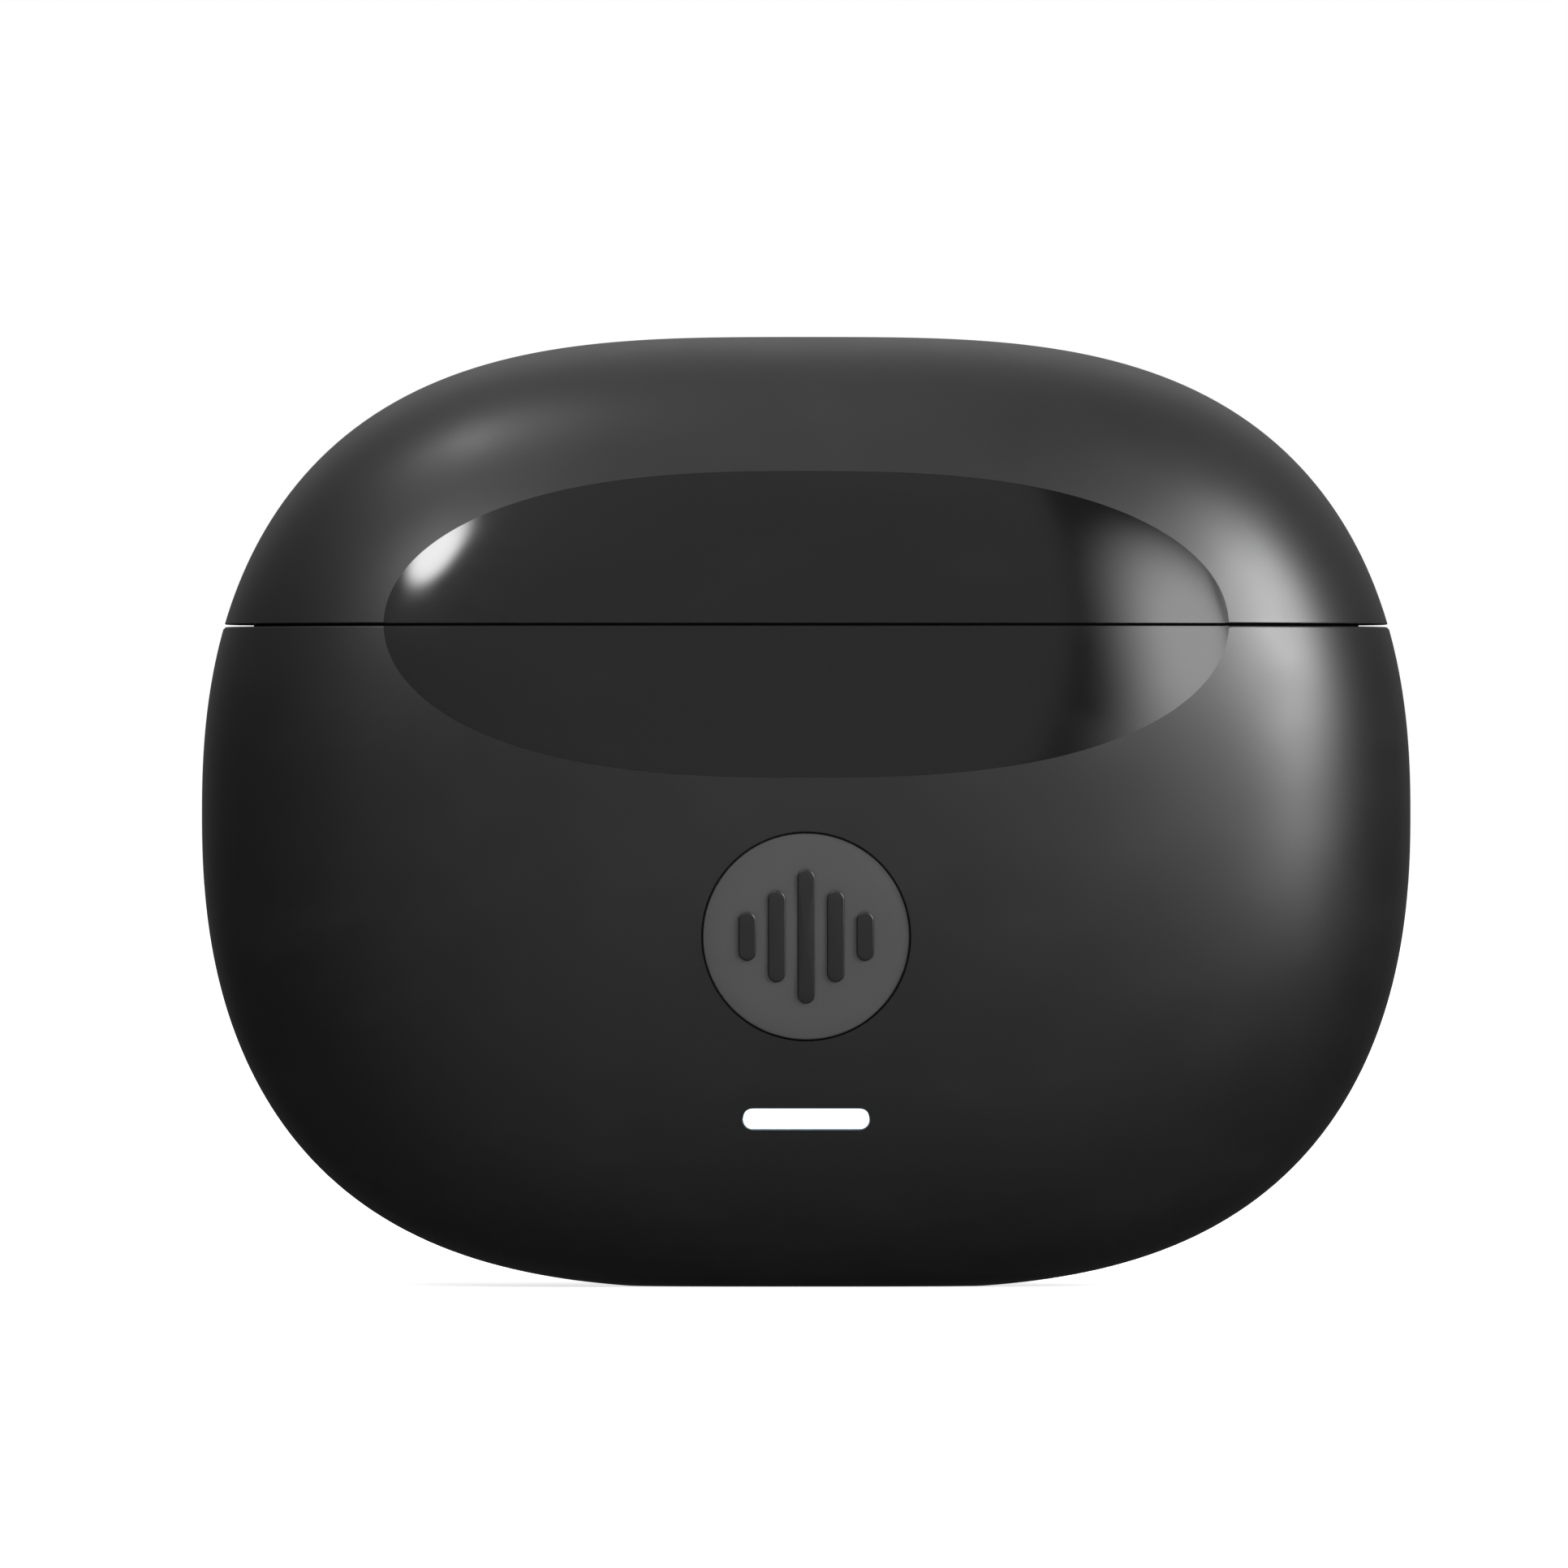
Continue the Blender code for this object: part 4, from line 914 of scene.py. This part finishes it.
def mouthTool(centre, radii, top, edge, down):
    # rounds the rim where an egg-shaped hollow opens through a flat face
    rise = (top - centre.z) / (radii[2] * mm)
    share = math.sqrt(max(1 - rise * rise, 0.0))
    sheets = []
    for turn in (0, 15, 30, 45, 60, 75, 90):
        grow = edge * (1 - math.cos(math.radians(turn)))
        level = edge * (1 - math.sin(math.radians(turn)))
        wide, deep = (radius * mm * share + grow for radius in radii[:2])
        sheets.append([
            (centre.x + wide * math.cos(t), centre.y + deep * math.sin(t), top - down * level)
            for t in np.linspace(0, 2 * math.pi, 128, endpoint=False)
        ])
    sheets.append([(x, y, top + down * 0.3 * mm) for x, y, _ in sheets[-1]])
    return stack(sheets)


def cupHeart(side):
    return Vector((side * inside["cupX"], 0, seam + inside["cupRise"]))


def buildTray():
    deckTop = seam + inside["trayLip"]
    deckLow = deckTop - inside["deck"]
    skirt = seam - inside["skirt"]
    tray = addObject("tray", caseSlab(skirt, deckTop, lining, 0.0, 0.3 * mm))
    under = addObject("underDeck", caseSlab(skirt - mm, deckLow, lining + inside["trayWall"]))
    reach = inside["reliefReach"]
    notch = addObject("notch", block((-reach, hingeY - 1.95 * mm, 0), (reach, far, far)))
    carve(tray, [under, scoopRoom("room"), notch])
    radii = inside["cupRadii"]
    above = addObject("aboveDeck", block((-far, -far, deckTop - 0.05 * mm), (far, far, far)))
    tubeRadius = inside["stemRadius"] + inside["cupWall"] * mm
    low, high = inside["stemFloor"] - inside["cupWall"] * mm, seam - radii[2] * mm / 3
    chamfer = 0.3 * mm
    wall = [(0, low), (tubeRadius - chamfer, low), (tubeRadius, low + chamfer), (tubeRadius, high), (0, high)]
    for side in (-1, 1):
        heart = cupHeart(side)
        outerRadii = [(r + inside["cupWall"]) * mm for r in radii]
        outer = addObject("cupOuter", ellipsoid(heart, outerRadii, 128, 80))
        tube = addObject("tube", turned(wall, (side * inside["stemX"], 0, 0), "Z", 96))
        carve(outer, [above], keep=[above])
        carve(tray, [outer, tube], "UNION")
    bpy.data.objects.remove(above)
    radius, floor, chamfer = inside["stemRadius"], inside["stemFloor"], 0.4 * mm
    bore = [(0, floor), (radius - chamfer, floor), (radius, floor + chamfer), (radius, seam), (0, seam)]
    hole = [(0, 0), (0.9 * mm, 0), (0.9 * mm, floor + mm), (0, floor + mm)]
    tools = []
    for side in (-1, 1):
        heart = cupHeart(side)
        tools.append(addObject("cupHollow", ellipsoid(heart, [r * mm for r in radii], 160, 100)))
        tools.append(addObject("cupMouth", mouthTool(heart, radii, deckTop, inside["edge"], 1)))
        tools.append(addObject("stemBore", turned(bore, (side * inside["stemX"], 0, 0), "Z", 96)))
        for at in (-0.5, 0.5):
            x = side * inside["stemX"] + at * inside["contactPitch"]
            tools.append(addObject("contactHole", turned(hole, (x, 0, 0), "Z", 48)))
    carve(tray, tools)
    finishPiece(tray, "tray", "inner_tray", "base", 32)


def buildLiner():
    low = seam + inside["trayLip"] + inside["linerGap"]
    high = low + inside["liner"]
    liner = addObject("liner", caseSlab(low, high, lining, 0.25 * mm, 0.0, 3))
    notch = addObject("leafNotch", block((-5.3 * mm, hingeY - 1.85 * mm, 0), (5.3 * mm, far, far)))
    carve(liner, [scoopRoom("linerRoom"), notch])
    under = addObject("underLiner", block((-far, -far, -far), (far, far, low + 0.05 * mm)))
    radii = inside["domeRadii"]
    for side in (-1, 1):
        outerRadii = [(r + inside["domeWall"]) * mm for r in radii]
        dome = addObject("domeOuter", ellipsoid(cupHeart(side), outerRadii, 128, 80))
        carve(dome, [under], keep=[under])
        carve(liner, [dome], "UNION")
    bpy.data.objects.remove(under)
    tools = []
    for side in (-1, 1):
        heart = cupHeart(side)
        tools.append(addObject("domeHollow", ellipsoid(heart, [r * mm for r in radii], 160, 100)))
        tools.append(addObject("domeMouth", mouthTool(heart, radii, low, inside["edge"], -1)))
    carve(liner, tools)
    finishPiece(liner, "tray", "lid_liner", "lid", 32)


buildTray()
buildLiner()
print("tray and liner built")


# Hinge and contacts


def buildHinge():
    look = {"radius": 1.0 * mm, "pin": 0.53 * mm, "reach": (5.15 * mm, 16.42 * mm), "middle": 5.0 * mm,
            "pinReach": 8.0 * mm, "leafReach": 8.0 * mm, "leafLength": 6.0 * mm, "leafThickness": 0.6 * mm,
            "gap": 1.35 * mm, "edge": 0.12 * mm, "flush": 0.05 * mm}
    axis = (0, hingeY, seam)
    radius, edge = look["radius"], look["edge"]

    def barrel(low, high):
        ends = [(0, low), (radius - edge, low), (radius, low + edge)]
        ends += [(radius, high - edge), (radius - edge, high), (0, high)]
        return addObject("barrel", turned(ends, axis, "X", 96))

    for side, body, name in ((-1, "base", "base"), (1, "lid", "lid")):
        reach = look["leafReach"] if side < 0 else look["middle"]
        low, high = sorted((seam, seam + side * look["leafLength"]))
        across = np.linspace(-reach, reach, 25)
        upward = np.linspace(low, high, 13)
        edgeLine = [(x, low) for x in across] + [(reach, z) for z in upward[1:-1]]
        edgeLine += [(x, high) for x in reversed(across)] + [(-reach, z) for z in reversed(upward[1:-1])]
        near = lambda x, z: halfDepth(x, z, lining + look["leafThickness"])
        leaf = addObject(name + "Leaf", panel(
            nested(edgeLine, [0.15, 0.35, 0.55, 0.75, 0.9, 1.0]), near, lambda x, z: halfDepth(x, z, lining)
        ))
        if side < 0:
            span = look["middle"] + form["fitGap"]
            gap = addObject("knuckleGap", block((-span, -0.1, seam - look["gap"]), (span, 0.1, 0.1)))
            carve(leaf, [gap])
            carve(leaf, [barrel(-look["reach"][1], -look["reach"][0]), barrel(*look["reach"])], "UNION")
        else:
            carve(leaf, [barrel(-look["middle"], look["middle"])], "UNION")
        flush = addObject("flush", pebble(look["flush"], int(240 * detail), int(120 * detail)))
        carve(leaf, [flush], "INTERSECT")
        pin, span = look["pin"], look["pinReach"]
        bore = turned([(0, -span), (pin, -span), (pin, span), (0, span)], axis, "X", 64)
        carve(leaf, [addObject("pinBore", bore)])
        finishPiece(leaf, "hinge", f"hinge_{name}_leaf", body, 32)


def buildContacts():
    look = {"radius": 0.42, "length": 2.3, "tip": 0.21, "barrel": (0.75, 0.5, 2.3, 0.3)}
    dome = [(look["radius"] * math.cos(t), look["length"] - look["tip"] * (1 - math.sin(t)))
            for t in np.radians([0, 15, 30, 45, 60, 75])]
    plunger = [(0, 0), (look["radius"], 0)] + dome + [(0, look["length"])]
    outer, bore, tall, floor = look["barrel"]
    barrel = [(0, 0), (outer - 0.05, 0), (outer, 0.05), (outer, tall - 0.06), (outer - 0.06, tall),
              (bore + 0.06, tall), (bore, tall - 0.06), (bore, floor), (0, floor)]
    for kind, profile in (("contact_plunger", plunger), ("contact_barrel", barrel)):
        for name in [n for n in nodes if n.startswith(kind)]:
            low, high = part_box(name)
            place = ((low.x + high.x) / 2, (low.y + high.y) / 2, low.z)
            solid = turned([(r * mm, h * mm) for r, h in profile], place, "Z", 48)
            body = name if kind == "contact_plunger" else "base"
            finishPiece(addObject(name.replace("contact_", ""), solid), "gold", name, body)


buildHinge()
buildContacts()
print("hinge and contacts built")


def dressFrameNodes():
    rules = (
        ("led_light", "light"), ("led_", "connector"), ("badge", "badge"), ("inner_tray", "tray"),
        ("lid_liner", "tray"), ("hinge_base", "hinge"), ("hinge_lid", "hinge"), ("hinge_pin", "steel"),
        ("contact_board", "board"), ("main_board", "board"), ("contact_flex", "flex"), ("contact_", "gold"),
        ("battery_foam", "foam"), ("battery_lead_red", "redLead"), ("battery_lead_black", "blackLead"),
        ("battery_connector", "connector"), ("battery", "cell"), ("usb_c_shell", "steel"),
        ("usb_c_tongue", "chip"), ("charge_", "chip"), ("power_", "chip"), ("processor", "chip"),
        ("hall_", "chip"),
    )
    for name, obj in nodes.items():
        if "magnet" in name:
            dress(obj, "magnet")
        elif "screw" in name:
            dress(obj, "steel")
        else:
            for start, key in rules:
                if name.startswith(start):
                    dress(obj, key)
                    break


dressFrameNodes()


# Floor, lights and camera

studio = {
    "cameraDistance": 1.1,
    "frameWidth": 77.87 * mm,
    "shift": (-0.014156, 0.017391),
    "floorColour": (0.86, 0.86, 0.86),
    "floorGlow": 0.75,
    "ground": 0.02,
    "ceiling": 0.33,
    "rise": (-0.25, 0.9),
}
# soft glows of the room: turn to the right from the front, height, strength, half width; angles in degrees
roomGlows = {
    "frontWash": (-32, 40, 0.2, 24),
    "frontLow": (2, -30, 0.18, 26),
    "frontHorizon": (0, 0, 0.17, 28),
    "topLeftHalo": (-58, 66, 0.6, 20),
    "keyHalo": (50, 18, 0.4, 22),
    "backTop": (180, 50, 0.5, 30),
}
# panels: turn, height, distance, width, tallness, strength, how far out it stays at full strength, lean
panels = {
    "keyBox": (56, 21, 0.7, 0.44, 0.62, 28.0, 0.3, 0.0),
    "keyFringe": (28, 19, 0.72, 0.47, 0.38, 7.0, 0.25, 0.7),
    "topLeftBox": (-60, 64, 0.7, 0.2, 0.24, 18.0, 0.25, 0.0),
    "leftLamp": (-31, 32, 0.7, 0.16, 0.17, 22.0, 0.6, 0.0),
}


def towards(turn, height):
    turn, height = math.radians(turn), math.radians(height)
    level = math.cos(height)
    return Vector((math.sin(turn) * level, -math.cos(turn) * level, math.sin(height)))


def emissionMaterial(name, strength, core):
    material = bpy.data.materials.new(name)
    material.use_nodes = True
    tree = material.node_tree
    tree.nodes.clear()
    out = tree.nodes.new("ShaderNodeOutputMaterial")
    glow = tree.nodes.new("ShaderNodeEmission")
    # brightest in the middle and fading out towards the panel's edges
    place = tree.nodes.new("ShaderNodeTexCoord")
    spread = tree.nodes.new("ShaderNodeMapping")
    spread.inputs["Location"].default_value = (-1, -1, 0)
    spread.inputs["Scale"].default_value = (2, 2, 0)
    tree.links.new(place.outputs["Generated"], spread.inputs["Vector"])
    away = tree.nodes.new("ShaderNodeVectorMath")
    away.operation = "LENGTH"
    tree.links.new(spread.outputs["Vector"], away.inputs[0])
    tree.links.new(ramp(tree, away.outputs["Value"], core, 1.0, strength, 0.0), glow.inputs["Strength"])
    tree.links.new(glow.outputs["Emission"], out.inputs["Surface"])
    return material


def lightPanel(name, turn, height, distance, width, tall, strength, core, lean):
    # a glowing panel that faces the case
    way = towards(turn, height)
    mesh = bpy.data.meshes.new(name)
    w, h = width / 2, tall / 2
    mesh.from_pydata([(-w, -h, 0), (w, -h, 0), (w, h, 0), (-w, h, 0)], [], [(0, 1, 2, 3)])
    obj = bpy.data.objects.new(name, mesh)
    bpy.context.scene.collection.objects.link(obj)
    obj.matrix_world = (
        Matrix.Translation(Vector((0, 0, middle)) + way * distance)
        @ way.to_track_quat("Z", "Y").to_matrix().to_4x4()
        @ Matrix(((1, lean, 0, 0), (0, 1, 0, 0), (0, 0, 1, 0), (0, 0, 0, 1)))
    )
    obj.data.materials.append(emissionMaterial(name + "Glow", strength, core))
    obj.visible_camera = False


def buildRoom():
    # white where it is seen, and a dim room with soft glows where it lights and mirrors
    world = bpy.data.worlds.new("studio")
    bpy.context.scene.world = world
    world.use_nodes = True
    tree = world.node_tree
    back = tree.nodes["Background"]
    back.inputs["Color"].default_value = (1, 1, 1, 1)
    place = tree.nodes.new("ShaderNodeTexCoord")
    way = place.outputs["Generated"]
    split = tree.nodes.new("ShaderNodeSeparateXYZ")
    tree.links.new(way, split.inputs["Vector"])
    low, high = studio["rise"]
    level = ramp(tree, split.outputs["Z"], low, high, studio["ground"], studio["ceiling"])
    for turn, height, strength, width in roomGlows.values():
        dot = tree.nodes.new("ShaderNodeVectorMath")
        dot.operation = "DOT_PRODUCT"
        tree.links.new(way, dot.inputs[0])
        dot.inputs[1].default_value = towards(turn, height)
        sharpness = math.log(2) / (1 - math.cos(math.radians(width)))
        falling = combine(tree, "MULTIPLY", combine(tree, "SUBTRACT", dot.outputs["Value"], 1.0), sharpness)
        glow = combine(tree, "MULTIPLY", combine(tree, "EXPONENT", falling, 0.0), strength)
        level = combine(tree, "ADD", level, glow)
    rays = tree.nodes.new("ShaderNodeLightPath")
    clear = combine(tree, "MULTIPLY", rays.outputs["Is Camera Ray"], 1.0)
    level = combine(tree, "MULTIPLY", level, combine(tree, "SUBTRACT", 1.0, clear))
    tree.links.new(combine(tree, "ADD", level, clear), back.inputs["Strength"])


def buildFloor():
    bm = bmesh.new()
    bmesh.ops.create_circle(bm, cap_ends=True, segments=96, radius=6.0)
    bmesh.ops.translate(bm, verts=bm.verts, vec=(0, 0, shellLow.z - 0.02 * mm))
    floor = addObject("floor", bm)
    material, tree, shader = newMaterial("paleFloor", {"Roughness": 0.9, "Specular IOR Level": 0.1})
    shader.inputs["Base Color"].default_value = (*studio["floorColour"], 1)
    shader.inputs["Emission Color"].default_value = (1, 1, 1, 1)
    shader.inputs["Emission Strength"].default_value = studio["floorGlow"]
    floor.data.materials.append(material)
    floor.visible_glossy = False


def buildCamera():
    camera = bpy.data.cameras.new("camera")
    camera.sensor_width = 36
    camera.lens = camera.sensor_width * studio["cameraDistance"] / studio["frameWidth"]
    camera.shift_x, camera.shift_y = studio["shift"]
    camera.clip_start = 0.01
    viewer = bpy.data.objects.new("camera", camera)
    bpy.context.scene.collection.objects.link(viewer)
    viewer.location = (0, -studio["cameraDistance"], caseHeight / 2)
    viewer.rotation_euler = (math.radians(90), 0, 0)
    bpy.context.scene.camera = viewer
    bpy.context.scene.view_settings.view_transform = "Standard"


buildRoom()
buildFloor()
for name, values in panels.items():
    lightPanel(name, *values)
buildCamera()
print("studio made")
